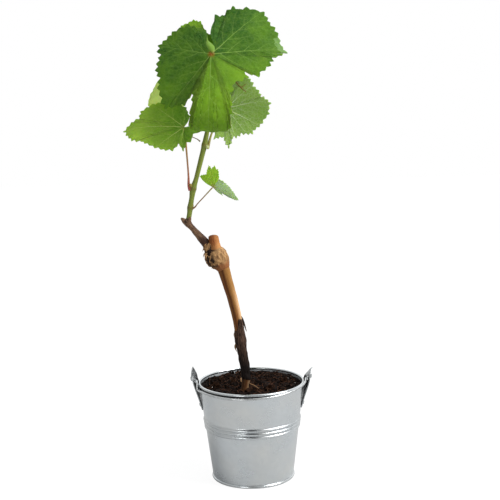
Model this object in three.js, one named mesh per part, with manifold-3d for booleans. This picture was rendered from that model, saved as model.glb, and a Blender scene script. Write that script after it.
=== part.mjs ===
// A young grafted grapevine rooted in a small galvanised pail with a wire bail.
// Millimetres, +Z up. The origin is the centre of the pail's flat underside, and the bail lies to -Y.
import * as THREE from 'three';
import { mergeVertices } from 'three/addons/utils/BufferGeometryUtils.js';
import Module from 'manifold-3d';

const wasm = await Module();
wasm.setup();

// ---- driving dimensions ----
const RIM_RADIUS = 55; // outside of the rolled rim
const PAIL_HEIGHT = 101.2;
const FOOT_RADIUS = 43; // outside of the foot bead
const SHEET = 0.8; // thickness of the pail's sheet
const BEAD = 1.25; // radius of the rolled rim
const FOOT_HEIGHT = 3;
const WALL_FOOT_RADIUS = 41.5; // outside of the wall just above the foot bead
const WALL_TOP_RADIUS = 53.4; // outside of the wall just under the rim
const RIB_FIRST = 54.8; // height of the lowest pressed rib
const RIB_COUNT = 3;
const RIB_PITCH = 3.8;
const RIB_RISE = 1.3;
const BOTTOM_SHEET = 1.2;
const PAIL_SIDES = 40;
const GAP = 0.3; // clearance between touching pieces

const SOIL_LEVEL = 97;
const SOIL_ROUGHNESS = 0.7;

const WIRE_RADIUS = 1.1;
const PIVOT_HEIGHT = 102.5;
const BAIL_REACH = 57; // front of the bail from the pivot line
const BAIL_HALF_SPAN = 56.45; // bail beside the rim, between rim and ear
const BAIL_SAG = 5.2; // how far the resting bail's front lies below the pivots
const BAIL_SKEW = 0.7; // how much lower its left half and higher its right half lie
const BAIL_DROP = 7.5; // how sharply the wire drops beside its left ear
const BAIL_BEND = 14; // degrees round from the left ear over which it drops
const BAIL_EASE = 19; // degrees over which it comes up again
const BAIL_HOOK = [ // the wire's eye through the right ear, from its cut end
  [61.7, 0, 106.5], [61.7, 0, 104.3], [61.2, 0, 103], [59.9, 0, 102.5], [58.2, 0, 102.5], [57.2, -0.4, 102.4],
  [56.5, -1.6, 102.3],
];

const EAR_THICKNESS = 1;
const EAR_FOOT = [51.8, 77]; // inner face of the ear at its rivet: distance from the axis, height
const EAR_LEAN = 13.7; // degrees out from upright
const EAR_HALF_WIDTH = 7.6;
const EAR_FOOT_WIDTH = 0.8; // the round foot's radius, as a share of the half width
const EAR_SHOULDER = 0.75; // where the ear is widest, as a share of the way from rivet to hole
const EAR_TIPS = { left: 14.8, right: 12.2 }; // point of each ear above the pivot hole
const EAR_HOLE = 2.3;
const RIVET_RADIUS = 2.4;
const RIVET_HEIGHT = 1.1;

const BLADE = 1.6; // thickness of a leaf's solid

// ---- limbs: points along the centre line [x, y, z, radius] ----
const ROOTSTOCK = [
  [-7.2, -24.6, SOIL_LEVEL - 2, 4.6],
  [-6.3, -23.2, 101, 3.7],
  [-5.6, -22.3, 106, 3.8],
  [-4.9, -21.7, 110, 4.3],
  [-5.6, -20.4, 118, 4.5],
  [-8.5, -17, 137, 4.7],
  [-9.8, -15.4, 147, 5.5],
  [-10.8, -13.6, 157, 4.9],
  [-14.2, -10.3, 177, 4.9],
  [-20.8, -6, 203, 5.5],
  [-25.5, -3.2, 219.7, 6.3],
];
const GRAFT_UNION = [
  [-25.6, -3.1, 219.9, 6.8],
  [-26.8, -3, 222.8, 8.5],
  [-29, -2.4, 227, 10.6],
  [-31.8, -1.4, 231, 11.6],
  [-34, -0.6, 235, 10.8],
  [-36.8, 0.2, 239.5, 7.9],
  [-39.6, 0.8, 243, 6],
  [-41.4, 1.2, 246.5, 4.4],
];
const CUT_STUB = [
  [-29.8, -4, 233, 6.2],
  [-31.8, -3, 238, 5.8],
  [-33.4, -1.6, 244, 5.4],
  [-34.5, -0.8, 250, 5.2],
  [-34.7, -0.8, 253.8, 5],
];
const OLD_SPUR = [
  [-39, 0.5, 240.5, 5],
  [-42, 1, 244.4, 4.7],
  [-45.6, 2, 248.8, 4.3],
  [-51.2, 2.2, 255.4, 3.4],
  [-58, 2, 263.2, 3.2],
  [-61.4, 2, 267.4, 4],
  [-63.2, 2, 270.2, 4.2],
];
const SHOOT = [
  [-60.2, 2, 267, 2.7],
  [-58.6, 2, 274, 2.5],
  [-57.4, 2, 281.5, 2.8],
  [-55.6, 2, 291, 2.6],
  [-53.8, 2, 301, 3.2],
  [-50.7, 2, 310, 2.4],
  [-45.3, 2.4, 329, 2.5],
  [-41, 3, 344.5, 2.7],
  [-37.6, 4, 359, 2.2],
  [-33, 5, 374, 2.3],
  [-27, 4, 389, 1.9],
  [-18, 2, 403.5, 1.7],
  [-5.5, -3, 425, 1],
];
const PETIOLES = {
  petiole_main: [
    [-32.8, 0.8, 375, 1.2], [-33, -2, 388, 1], [-32.2, -9, 410, 1], [-31.2, -17.4, 430.2, 1.2],
  ],
  petiole_lower_left: [
    [-58.5, 0.6, 301.6, 1.3], [-57.7, -1, 314, 1], [-58.4, -5, 331, 0.9], [-59.2, -11.4, 358.6, 1.1],
  ],
  petiole_back_left: [
    [-35.8, 6.8, 377.6, 1.2], [-41, 11, 389, 0.9], [-52, 17, 397, 0.9], [-69.4, 23, 391, 1],
  ],
  petiole_back_right: [
    [-37, 5.6, 342.6, 1.2], [-33.9, 9, 355, 1], [-27, 15, 368, 1], [-19.4, 21.6, 377.4, 1.1],
  ],
  petiole_top: [[-20.8, 3.6, 405.5, 1.1], [-25, 5, 411, 0.8], [-31, 4.2, 419, 0.9]],
  petiole_small: [
    [-53.9, 1.5, 281.4, 0.8], [-50, 0, 285.4, 0.6], [-42.2, -2, 293.5, 0.6], [-35.4, -5.2, 300.6, 0.7],
  ],
};

// ---- leaves ----
// at: where the stalk meets the blade. aim: the midrib's direction. face: the upper side's direction.
// lobes: [tip angle, tip radius, dip angle, dip radius], degrees from the midrib and mm.
// pose: [angle, lift, curl], degrees that each part of the blade rises, and turns further by its edge.
// lip: half openings of the notch at the stalk in degrees, and its radius. late: how late the curl comes.
const LEAVES = {
  leaf_main: {
    at: [-31, -20, 433], aim: [-0.05, -0.45, -0.88], face: [0.05, -0.88, 0.45],
    size: 98, late: 3.5, middle: 11, open: 14, rows: 7, lip: [0, 8, 20],
    lobes: [[-168, 31, -160, 36], [-147, 47, -136, 50], [-128, 52, -120, 54], [-108, 58, -94, 53],
      [-78, 57, -68, 57], [-59, 61, -50, 65], [-40, 69, -32, 60], [-24, 58, -22, 37],
      [-17.5, 52, -15, 60], [-13, 84, -8, 92], [0, 106, 8, 92], [15, 87, 18, 68], [20, 64, 24, 48],
      [36, 38, 45, 39], [58, 43, 63, 37], [66, 51, 73, 52], [83, 58, 91, 60], [98, 75, 105, 72],
      [116, 72, 126, 72], [138, 76, 144, 72], [151, 69, 156, 65], [162, 66, 168, 53], [177, 52]],
    pose: [[-165, -14, -5], [-113, -18, -20], [-41, -16, -30], [-14, 2, -170], [14, 3, -170],
      [30, 0, -60], [62, -2, -40], [104, -5, -35], [139, -6, -30], [175, -14, 0]],
  },
  leaf_lower_left: {
    at: [-60, -14, 363], aim: [-1, 0, 0.1], face: [-0.15, -0.72, 0.68],
    size: 62, late: 2.2, middle: 0, open: 6, rows: 3, lip: [10, 20, 5],
    lobes: [[-108, 15, -97, 18], [-90, 25, -74, 30], [-48, 43, -40, 47], [-28, 53, -20, 51],
      [-6, 66, -3, 62], [0, 61, 5, 57], [10, 54, 15, 46], [28, 38, 38, 35], [68, 28, 76, 18],
      [86, 24, 98, 15], [115, 17, 140, 13], [166, 20]],
    pose: [[-110, 0, -10], [-60, 6, -10], [0, 2, -25], [65, -6, -30], [95, -30, -30], [150, -5, -10]],
  },
  leaf_back_right: {
    at: [-19, 24, 380], aim: [0.9, 0.3, 0.05], face: [-0.25, 0.85, 0.45],
    size: 52, late: 2.2, middle: 0, open: 6, rows: 3, lip: [50, 45, 8],
    lobes: [[-103, 40, -90, 44], [-75, 52, -69, 42], [-57, 40, -45, 37], [-33, 38, -24, 38],
      [-10, 46, -3, 44], [5, 45, 12, 43], [28, 40, 37, 38], [43, 39, 58, 32], [70, 33, 76, 31],
      [86, 41, 97, 29], [116, 33]],
    pose: [[-120, 5, -5], [-60, -4, -15], [0, -5, -30], [60, -12, -20], [120, -20, -15]],
  },
  leaf_back_left: {
    at: [-72, 26, 392], aim: [-0.6, 0.65, -0.3], face: [-0.35, 0.75, 0.55],
    size: 44, late: 2.2, middle: 0, open: 6, rows: 3, lip: [45, 45, 6],
    lobes: [[-105, 13, -80, 14], [-50, 24, -25, 27], [0, 38, 25, 27], [50, 27, 58, 29], [72, 29, 95, 31],
      [122, 39]],
    pose: [[-110, -12, -15], [-60, -8, -20], [0, -5, -30], [60, -8, -20], [110, -12, -15]],
  },
  leaf_top: {
    at: [-32, 4, 422], aim: [-0.35, 0.1, 0.9], face: [0, -0.92, 0.3],
    size: 55, late: 2.2, middle: 0, open: 6, rows: 3, lip: [45, 45, 6],
    lobes: [[-110, 26, -90, 24], [-66, 31, -50, 29], [-32, 34, -22, 34], [-14, 36, -12, 38],
      [-10, 50, -7, 51], [-3, 54, 3, 53], [12, 54, 20, 46], [36, 41, 46, 34], [66, 32, 84, 24], [108, 26]],
    pose: [[-110, -6, -10], [0, -2, -10], [110, -6, -10]],
  },
  leaf_small: {
    at: [-33.7, -6, 302.4], aim: [0.6, 0.1, 0.6], face: [-0.45, -0.8, 0.4],
    size: 28, late: 1.6, middle: 0, open: 4, rows: 3, lip: [6, 6, 3],
    lobes: [[-92, 13, -79, 10.5], [-78, 26, -77, 28], [-73, 30, -64, 24], [-50, 19, -36, 16],
      [-10, 12, 6, 10], [32, 20, 38, 20], [46, 25, 54, 22], [61, 28, 74, 19], [92, 25]],
    pose: [[-90, -35, -30], [-30, -30, -30], [10, -5, -10], [90, -5, -15]],
  },
};

// ---- materials ----
const paint = (color, roughness, metalness) => new THREE.MeshStandardMaterial({
  color, roughness, metalness, side: THREE.DoubleSide,
});
const zinc = paint(0xb4b8b8, 0.4, 1);
const wireSteel = paint(0xa9adae, 0.35, 1);
const peat = paint(0x2a201b, 1, 0);
const bark = paint(0x4a372b, 0.9, 0);
const cane = paint(0x8a5a30, 0.7, 0);
const greenShoot = paint(0x727d36, 0.55, 0);
const stalk = paint(0x8e6b45, 0.6, 0);
const leafGreen = paint(0x5c812d, 0.5, 0);

// ---- helpers ----
const radians = THREE.MathUtils.degToRad;
const vector = ([x, y, z]) => new THREE.Vector3(x, y, z);

function geometry(points, faces) {
  const shape = new THREE.BufferGeometry();
  shape.setAttribute('position', new THREE.Float32BufferAttribute(points.flatMap((p) => [p.x, p.y, p.z]), 3));
  shape.setIndex(faces.flat());
  shape.computeVertexNormals();
  return shape;
}

// A closed solid through rings of equal size, anticlockwise seen from the last ring.
function loft(rings) {
  const count = rings[0].length;
  const points = rings.flat();
  const faces = [];
  for (let k = 0; k < rings.length - 1; k += 1) {
    for (let i = 0; i < count; i += 1) {
      const a = k * count + i;
      const b = k * count + ((i + 1) % count);
      faces.push([a, b, b + count], [a, b + count, a + count]);
    }
  }
  for (const [ring, turn] of [[0, -1], [rings.length - 1, 1]]) {
    const hub = points.length;
    const middle = new THREE.Vector3();
    rings[ring].forEach((p) => middle.addScaledVector(p, 1 / count));
    points.push(middle);
    for (let i = 0; i < count; i += 1) {
      const a = ring * count + i;
      const b = ring * count + ((i + 1) % count);
      faces.push(turn > 0 ? [hub, a, b] : [hub, b, a]);
    }
  }
  return geometry(points, faces);
}

// Rings square to a line of stations [x, y, z, radius], without twist.
// shape(angle, station) scales the radius round the section.
function tube(stations, sides, shape = () => 1, extra = 0) {
  const centres = stations.map(vector);
  let across = new THREE.Vector3(1, 0, 0);
  const rings = centres.map((centre, k) => {
    const along = centres[Math.min(k + 1, centres.length - 1)].clone().sub(centres[Math.max(k - 1, 0)]);
    along.normalize();
    across.addScaledVector(along, -across.dot(along)).normalize();
    const beside = new THREE.Vector3().crossVectors(along, across);
    const end = k === 0 ? -extra : k === centres.length - 1 ? extra : 0;
    return Array.from({ length: sides }, (_, i) => {
      const angle = (2 * Math.PI * i) / sides;
      const radius = stations[k][3] * shape(angle, k) + extra;
      return centre.clone().addScaledVector(along, end)
        .addScaledVector(across, radius * Math.cos(angle))
        .addScaledVector(beside, radius * Math.sin(angle));
    });
  });
  return loft(rings);
}

// Stations at equal steps along a smooth curve through the given ones.
function smooth(stations, steps) {
  const line = new THREE.CatmullRomCurve3(stations.map(vector), false, 'centripetal');
  const girth = new THREE.CatmullRomCurve3(
    stations.map((s, i) => new THREE.Vector3(i, s[3], 0)), false, 'centripetal');
  return Array.from({ length: steps + 1 }, (_, k) => {
    const p = line.getPoint(k / steps);
    return [p.x, p.y, p.z, girth.getPoint(k / steps).y];
  });
}

function solid(shape) {
  const bare = new THREE.BufferGeometry();
  bare.setAttribute('position', shape.attributes.position);
  bare.setIndex(shape.index);
  const merged = mergeVertices(bare, 1e-4);
  return new wasm.Manifold(new wasm.Mesh({
    numProp: 3,
    vertProperties: new Float32Array(merged.attributes.position.array),
    triVerts: new Uint32Array(merged.index.array),
  }));
}

function cut(shape, ...tools) {
  const left = tools.reduce((rest, tool) => rest.subtract(solid(tool)), solid(shape)).getMesh();
  const result = new THREE.BufferGeometry();
  result.setAttribute('position', new THREE.Float32BufferAttribute(left.vertProperties, 3));
  result.setIndex(Array.from(left.triVerts));
  result.computeVertexNormals();
  return result;
}

function turned(profile, segments) {
  const shape = new THREE.LatheGeometry(profile.map(([r, z]) => new THREE.Vector2(r, z)), segments);
  return shape.rotateX(Math.PI / 2);
}

// ---- pail ----
const wallRadius = (z) => THREE.MathUtils.mapLinear(
  z, FOOT_HEIGHT, PAIL_HEIGHT - 2 * BEAD, WALL_FOOT_RADIUS, WALL_TOP_RADIUS);
const innerRadius = (z) => wallRadius(z) - SHEET;

function pailBody() {
  const foot = FOOT_HEIGHT + GAP;
  const neck = PAIL_HEIGHT - 2 * BEAD;
  const outside = [[wallRadius(foot), foot]];
  for (let rib = 0; rib < RIB_COUNT; rib += 1) {
    for (const step of [-0.5, -0.2, 0.2]) {
      const z = RIB_FIRST + (rib + step) * RIB_PITCH;
      outside.push([wallRadius(z) + (step === -0.5 ? 0 : RIB_RISE), z]);
    }
  }
  const ribTop = RIB_FIRST + (RIB_COUNT - 0.5) * RIB_PITCH;
  outside.push([wallRadius(ribTop), ribTop]);
  const rim = [];
  for (let turn = -60; turn <= 180; turn += 40) {
    const angle = radians(turn);
    rim.push([RIM_RADIUS - BEAD + BEAD * Math.cos(angle), PAIL_HEIGHT - BEAD + BEAD * Math.sin(angle)]);
  }
  const inside = [[innerRadius(neck), neck], [innerRadius(foot), foot]];
  const profile = [...outside, ...rim, ...inside];
  return turned([...profile, profile[0]], PAIL_SIDES);
}

function pailBottom() {
  const bead = FOOT_HEIGHT / 2;
  const profile = [[0, 0], [FOOT_RADIUS - bead, 0]];
  for (const turn of [-45, 0, 45]) {
    const angle = radians(turn);
    profile.push([FOOT_RADIUS - bead + bead * Math.cos(angle), bead + bead * Math.sin(angle)]);
  }
  profile.push([FOOT_RADIUS - bead, FOOT_HEIGHT], [innerRadius(FOOT_HEIGHT), FOOT_HEIGHT]);
  profile.push([innerRadius(FOOT_HEIGHT), BOTTOM_SHEET], [0, BOTTOM_SHEET]);
  return turned(profile, PAIL_SIDES);
}

function soil() {
  const sides = PAIL_SIDES;
  const bottom = BOTTOM_SHEET + GAP;
  const [footX, footY] = ROOTSTOCK[0];
  const ring = (radius, height) => Array.from({ length: sides }, (_, i) => {
    const angle = (2 * Math.PI * i) / sides;
    const x = radius * Math.cos(angle);
    const y = radius * Math.sin(angle);
    const calm = THREE.MathUtils.smoothstep(Math.hypot(x - footX, y - footY), 8, 16);
    const wave = Math.sin(x / 5 + 1) * Math.cos(y / 7) + 0.6 * Math.sin((x - y) / 4);
    const lift = height > bottom ? calm * SOIL_ROUGHNESS * wave : 0;
    return new THREE.Vector3(x, y, height + lift);
  });
  const edge = innerRadius(SOIL_LEVEL) - GAP;
  const rings = [ring(innerRadius(FOOT_HEIGHT) - 3 * GAP, bottom), ring(edge, SOIL_LEVEL)];
  for (const share of [0.8, 0.6, 0.4, 0.15]) rings.push(ring(edge * share, SOIL_LEVEL));
  return loft(rings);
}

// ---- ears and bail ----
const earSlope = radians(EAR_LEAN);
const holeAlong = (PIVOT_HEIGHT - EAR_FOOT[1]) / Math.cos(earSlope);

function ear(side, tip) {
  const w = EAR_HALF_WIDTH;
  const outline = new THREE.Shape();
  const foot = w * EAR_FOOT_WIDTH;
  const shoulder = holeAlong * EAR_SHOULDER;
  outline.moveTo(-foot, 0);
  outline.absarc(0, 0, foot, Math.PI, 2 * Math.PI, false);
  outline.lineTo(w, shoulder);
  outline.quadraticCurveTo(w, holeAlong + tip / 2, 0, holeAlong + tip);
  outline.quadraticCurveTo(-w, holeAlong + tip / 2, -w, shoulder);
  outline.closePath();
  const hole = new THREE.Path();
  hole.absarc(0, holeAlong, EAR_HOLE, 0, 2 * Math.PI, true);
  outline.holes.push(hole);
  const plate = new THREE.ExtrudeGeometry(outline, {
    depth: EAR_THICKNESS, bevelEnabled: false, curveSegments: 6,
  });
  const place = new THREE.Matrix4().makeBasis(
    new THREE.Vector3(0, 1, 0),
    new THREE.Vector3(Math.sin(earSlope), 0, Math.cos(earSlope)),
    new THREE.Vector3(Math.cos(earSlope), 0, -Math.sin(earSlope)));
  place.setPosition(EAR_FOOT[0], 0, EAR_FOOT[1]);
  plate.applyMatrix4(place);
  return plate.rotateZ(side > 0 ? 0 : Math.PI);
}

function rivet(side) {
  const head = new THREE.CylinderGeometry(RIVET_RADIUS * 0.7, RIVET_RADIUS, RIVET_HEIGHT, 12);
  head.rotateZ(-Math.PI / 2);
  head.rotateY(earSlope);
  const out = EAR_THICKNESS + GAP + RIVET_HEIGHT / 2;
  head.translate(EAR_FOOT[0] + out * Math.cos(earSlope), 0, EAR_FOOT[1] - out * Math.sin(earSlope));
  return head.rotateZ(side > 0 ? 0 : Math.PI);
}

// How much lower the wire hangs near its left ear, which is at 180 degrees.
const bailDrop = (turn) => BAIL_DROP * Math.exp((turn - 174) / BAIL_EASE)
  * THREE.MathUtils.smoothstep(180 - turn, 0, BAIL_BEND) ** 2;

function bail() {
  const arc = [];
  for (let turn = 6; turn <= 174; turn += 6) {
    const angle = radians(turn);
    const fall = BAIL_SAG * Math.sin(angle) - BAIL_SKEW * Math.sin(2 * angle) + bailDrop(turn);
    arc.push([BAIL_HALF_SPAN * Math.cos(angle), -BAIL_REACH * Math.sin(angle), PIVOT_HEIGHT - fall]);
  }
  const otherHook = BAIL_HOOK.map(([x, y, z]) => [-x, y, z]).reverse();
  const path = [...BAIL_HOOK, ...arc, ...otherHook];
  return tube(path.map((p) => [...p, WIRE_RADIUS]), 8);
}

// ---- woody parts ----
// Bark swellings round a limb, stronger where the station's share asks for it.
const lumps = (strength, turns) => (angle, k) => 1
  + strength * (Math.sin(turns * angle + 1.7 * k) + 0.6 * Math.cos((turns + 2) * angle - 2.3 * k));

// Each limb is cut back by the one that carries it, with a small gap.
const trunkShape = (extra = 0) => tube(smooth(ROOTSTOCK, 24), 12, lumps(0.03, 3), extra);
const unionShape = (extra = 0) => tube(smooth(GRAFT_UNION, 9), 14, lumps(0.05, 3), extra);
const spurShape = (extra = 0) => tube(smooth(OLD_SPUR, 10), 10, lumps(0.04, 2), extra);

function rootstock() {
  const ground = new THREE.BoxGeometry(40, 40, 10);
  ground.translate(ROOTSTOCK[0][0], ROOTSTOCK[0][1], SOIL_LEVEL + GAP - 5);
  return cut(trunkShape(), ground);
}

const graftUnion = () => cut(unionShape(), trunkShape(GAP));
const oldSpur = () => cut(spurShape(), unionShape(GAP));
const cutStub = () => cut(tube(smooth(CUT_STUB, 3), 14), unionShape(GAP), spurShape(GAP));
const shoot = () => cut(tube(smooth(SHOOT, 36), 8), spurShape(GAP));

// ---- leaves ----
// Corners of the blade's flat outline, with one point more where a stretch is long.
function leafOutline({ lobes, lip }) {
  const first = lobes[0][0] - lip[0];
  const last = lobes.at(-1)[0] + lip[1];
  const corners = [[first, lip[2]]];
  for (const [tip, tipRadius, dip, dipRadius] of lobes) {
    corners.push([tip, tipRadius]);
    if (dip !== undefined) corners.push([dip, dipRadius]);
  }
  corners.push([last, lip[2]]);
  const flat = corners.map(([angle, r]) => new THREE.Vector2(
    r * Math.cos(radians(angle)), r * Math.sin(radians(angle))));
  const outline = [];
  flat.forEach((p, i) => {
    outline.push(p);
    const next = flat[i + 1];
    if (!next) return;
    const chord = next.clone().sub(p);
    if (chord.length() < 14) return;
    const bulge = new THREE.Vector2(chord.y, -chord.x).multiplyScalar(0.07);
    outline.push(p.clone().addScaledVector(chord, 0.5).add(bulge));
  });
  return outline;
}

// The point of the bent blade over the flat point p.
function bend(leaf, p) {
  const face = vector(leaf.face).normalize();
  const midrib = vector(leaf.aim);
  midrib.addScaledVector(face, -midrib.dot(face)).normalize();
  const beside = new THREE.Vector3().crossVectors(face, midrib);
  const middle = radians(leaf.middle);
  const reach = Math.hypot(p.x, p.y);
  let angle = Math.atan2(p.y, p.x) - middle;
  angle -= 2 * Math.PI * Math.round(angle / (2 * Math.PI));
  const share = angle / Math.PI;
  angle += middle;
  const pose = leaf.pose;
  const degrees = THREE.MathUtils.radToDeg(angle);
  const found = pose.findIndex(([at]) => at > degrees);
  const i = THREE.MathUtils.clamp(found < 0 ? pose.length : found, 1, pose.length - 1) - 1;
  const across = THREE.MathUtils.clamp((degrees - pose[i][0]) / (pose[i + 1][0] - pose[i][0]), 0, 1);
  const w = (1 - Math.cos(Math.PI * across)) / 2;
  const lift = radians(THREE.MathUtils.lerp(pose[i][1], pose[i + 1][1], w));
  const curl = radians(THREE.MathUtils.lerp(pose[i][2], pose[i + 1][2], w));
  angle -= Math.sign(share) * radians(leaf.open) * share ** 6 * Math.exp(-(((reach - 12) / 8) ** 2));
  let out = 0;
  let up = 0;
  const steps = 24;
  for (let k = 0; k < steps; k += 1) {
    const along = (((k + 0.5) / steps) * reach) / leaf.size;
    const slope = lift + curl * along ** leaf.late;
    out += (reach / steps) * Math.cos(slope);
    up += (reach / steps) * Math.sin(slope);
  }
  return vector(leaf.at)
    .addScaledVector(midrib, out * Math.cos(angle))
    .addScaledVector(beside, out * Math.sin(angle))
    .addScaledVector(face, up);
}

function blade(leaf) {
  const outline = leafOutline(leaf);
  const count = outline.length;
  const place = (flat, side) => {
    const here = bend(leaf, flat);
    const du = bend(leaf, flat.clone().add(new THREE.Vector2(0.5, 0))).sub(here);
    const dv = bend(leaf, flat.clone().add(new THREE.Vector2(0, 0.5))).sub(here);
    return here.addScaledVector(du.cross(dv).normalize(), (side * BLADE) / 2);
  };
  const points = [];
  const faces = [];
  for (const side of [1, -1]) {
    const hub = points.length;
    points.push(place(new THREE.Vector2(0.01, 0), side));
    for (let row = 1; row <= leaf.rows; row += 1) {
      outline.forEach((p) => points.push(place(p.clone().multiplyScalar(row / leaf.rows), side)));
    }
    const at = (row, i) => hub + 1 + (row - 1) * count + i;
    const face = (a, b, c) => faces.push(side > 0 ? [a, b, c] : [a, c, b]);
    for (let i = 0; i < count - 1; i += 1) {
      face(hub, at(1, i), at(1, i + 1));
      for (let row = 1; row < leaf.rows; row += 1) {
        face(at(row, i), at(row + 1, i), at(row + 1, i + 1));
        face(at(row, i), at(row + 1, i + 1), at(row, i + 1));
      }
    }
  }
  // the edge between the two sides: out along one lip of the notch, round the outline, back along the other
  const under = points.length / 2;
  const border = [0];
  for (let row = 1; row <= leaf.rows; row += 1) border.push(1 + (row - 1) * count);
  for (let i = 1; i < count; i += 1) border.push(1 + (leaf.rows - 1) * count + i);
  for (let row = leaf.rows - 1; row >= 1; row -= 1) border.push(row * count);
  border.forEach((a, i) => {
    const b = border[(i + 1) % border.length];
    faces.push([a, a + under, b + under], [a, b + under, b]);
  });
  return geometry(points, faces);
}

// ---- assembly ----
const model = new THREE.Group();
const add = (name, shape, material) => {
  const mesh = new THREE.Mesh(shape, material);
  mesh.name = name;
  model.add(mesh);
};

add('pail_body', pailBody(), zinc);
add('pail_bottom', pailBottom(), zinc);
for (const [name, side] of [['left', -1], ['right', 1]]) {
  add(`ear_${name}`, ear(side, EAR_TIPS[name]), zinc);
  add(`rivet_${name}`, rivet(side), zinc);
}
add('bail', bail(), wireSteel);
add('soil', soil(), peat);
add('rootstock', rootstock(), bark);
add('graft_union', graftUnion(), cane);
add('cut_stub', cutStub(), cane);
add('old_spur', oldSpur(), bark);
add('shoot', shoot(), greenShoot);
for (const [name, stations] of Object.entries(PETIOLES)) add(name, tube(smooth(stations, 7), 6), stalk);
for (const [name, leaf] of Object.entries(LEAVES)) add(name, blade(leaf), leafGreen);

export default model;
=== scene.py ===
import math
from collections import namedtuple

import bmesh
import bpy
import numpy as np
from mathutils import Matrix, Vector, kdtree, noise


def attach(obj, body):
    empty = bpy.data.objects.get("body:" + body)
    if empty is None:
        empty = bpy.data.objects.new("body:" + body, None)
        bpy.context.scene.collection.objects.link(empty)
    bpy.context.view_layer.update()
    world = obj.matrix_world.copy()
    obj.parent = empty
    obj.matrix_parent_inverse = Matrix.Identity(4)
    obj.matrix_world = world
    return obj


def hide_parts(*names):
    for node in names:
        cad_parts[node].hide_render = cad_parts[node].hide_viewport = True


# A young grafted grapevine in a small galvanised pail with a wire bail.
# Shapes are worked out in millimetres in the frame's axes and stored in metres.
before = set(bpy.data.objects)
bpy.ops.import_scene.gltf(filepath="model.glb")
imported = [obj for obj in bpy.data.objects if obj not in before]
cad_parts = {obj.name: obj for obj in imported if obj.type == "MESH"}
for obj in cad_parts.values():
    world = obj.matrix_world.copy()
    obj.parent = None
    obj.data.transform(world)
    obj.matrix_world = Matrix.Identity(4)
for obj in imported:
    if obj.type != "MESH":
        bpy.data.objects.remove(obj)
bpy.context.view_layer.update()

MM = 0.001
BODY = "root"

# ---- the pail ----
RIM_RADIUS = 55.0
RIM_TOP = 101.2
BEAD = 1.25  # radius of the rolled rim
FOOT_BEAD = 1.5
FOOT_RADIUS = 43.0
WALL_FOOT = (41.5, 3.0)  # radius and height where the wall meets the foot bead
WALL_TOP = (53.4, 98.7)  # radius and height under the rolled rim
WALL_TUCK = (0.2, 1.2)  # how much further out and up the wall's sheet runs, into the rolled rim
SHEET = 0.5
BASE_SHEET = 1.0  # height of the bottom's upper face
RIB_FIRST = 54.8  # height of the lowest of the three pressed ribs
RIB_PITCH = 3.8
RIB_COUNT = 3
RIB_RISE = 1.3
SOIL_LEVEL = 97.0
SOIL_GAP = (3.0, 0.9)  # between the soil and the wall, at its foot and at its top

WIRE = 1.1  # radius of the bail's wire
PIVOT = 102.5
BAIL_REACH = 57.0
BAIL_HALF_SPAN = 56.45
BAIL_SAG = 5.2
BAIL_SKEW = 0.7  # how much lower its left half and higher its right half lie
BAIL_DROP = 7.5  # how far it hangs below its arc beside the left ear
BAIL_BEND = 14  # degrees from the ear over which it drops
BAIL_EASE = 19  # degrees over which the drop then fades
BAIL_STEP = 6  # degrees from one station of the arc to the next
BAIL_HOOK = [  # the wire's end through the right ear, from its tip inwards
    [61.7, 0, 106.5], [61.8, 0, 104.6], [61.3, 0, 103.1], [59.9, 0, 102.5], [58.4, 0, 102.5],
    [57.3, -0.4, 102.4], [56.5, -1.7, 102.3],
]

EAR_FOOT = (51.8, 77.0)  # radius and height of its rivet
EAR_LEAN = math.radians(13.7)
EAR_HALF_WIDTH = 7.6
EAR_FOOT_WIDTH = 0.8  # its width at the rivet, as a share of its full width
EAR_SHOULDER = 0.75  # where it is widest, as a share of the way from the rivet to the hole
EAR_TIP = {"left": 14.8, "right": 12.2}  # how far it stands over its hole
EAR_HOLE = 2.3
EAR_SHEET = 1.0
EAR_TWIST = {"left": (17, 27), "right": (19, 6)}  # degrees from the wall's line, at its hole and its tip
EAR_TIP_LEAN = {"left": math.radians(-16), "right": math.radians(18)}  # how much further out its tip leans
EAR_TWIST_SPAN = 7.0  # mm above the hole over which the first turn becomes the second
EAR_CUP = 0.9  # how far the side edges bend back towards the wall

# ---- the wood: points along the centre line [x, y, z, radius] ----
ROOTSTOCK = [
    [-7.2, -24.6, 95, 4.3], [-6.3, -23.2, 101, 3.7], [-5.6, -22.3, 106, 3.8], [-4.9, -21.7, 110, 4.1],
    [-5.6, -20.4, 118, 4.3], [-8.5, -17, 137, 4.7], [-9.8, -15.4, 147, 5.5], [-10.8, -13.6, 157, 4.9],
    [-14.2, -10.3, 177, 4.9], [-20.8, -6, 203, 5.5], [-25.5, -3.2, 219.7, 6.3], [-28, -2, 227, 6.6],
]
GRAFT_KNOB = [
    [-25.2, -3.2, 218.8, 6.3], [-26.8, -3, 222.8, 8.5], [-29, -2.4, 227, 10.6], [-31.8, -1.4, 231, 11.6],
    [-34, -0.6, 235, 10.8], [-36.8, 0.2, 239.5, 7.9], [-39.6, 0.8, 243, 6], [-41.4, 1.2, 246.5, 4.4],
]
CUT_STUB = [
    [-29.8, -4, 233, 6.2], [-31.8, -3, 238, 5.8], [-33.4, -1.6, 244, 5.4], [-34.5, -0.8, 250, 5.2],
    [-34.7, -0.8, 253.8, 5],
]
OLD_SPUR = [
    [-39, 0.5, 240.5, 5], [-42, 1, 244.4, 4.7], [-45.6, 2, 248.8, 4.3], [-51.2, 2.2, 255.4, 3.4],
    [-58, 2, 263.2, 3.2], [-61.4, 2, 267.4, 4], [-63.2, 2, 270.2, 4.2],
]
SPUR_COLLAR = [  # the dark lips on both sides of the shoot's base
    [[-62, 0.5, 266.5, 2.4], [-64.4, 0.4, 269.2, 2.3], [-66, 0.5, 270.6, 1.5], [-67.2, 0.6, 271.2, 0.7]],
    [[-60, 0, 265.8, 2], [-58.6, -0.4, 268.8, 2], [-57.8, -0.6, 271.4, 1.4], [-57.6, -0.6, 272.8, 0.6]],
]
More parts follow.
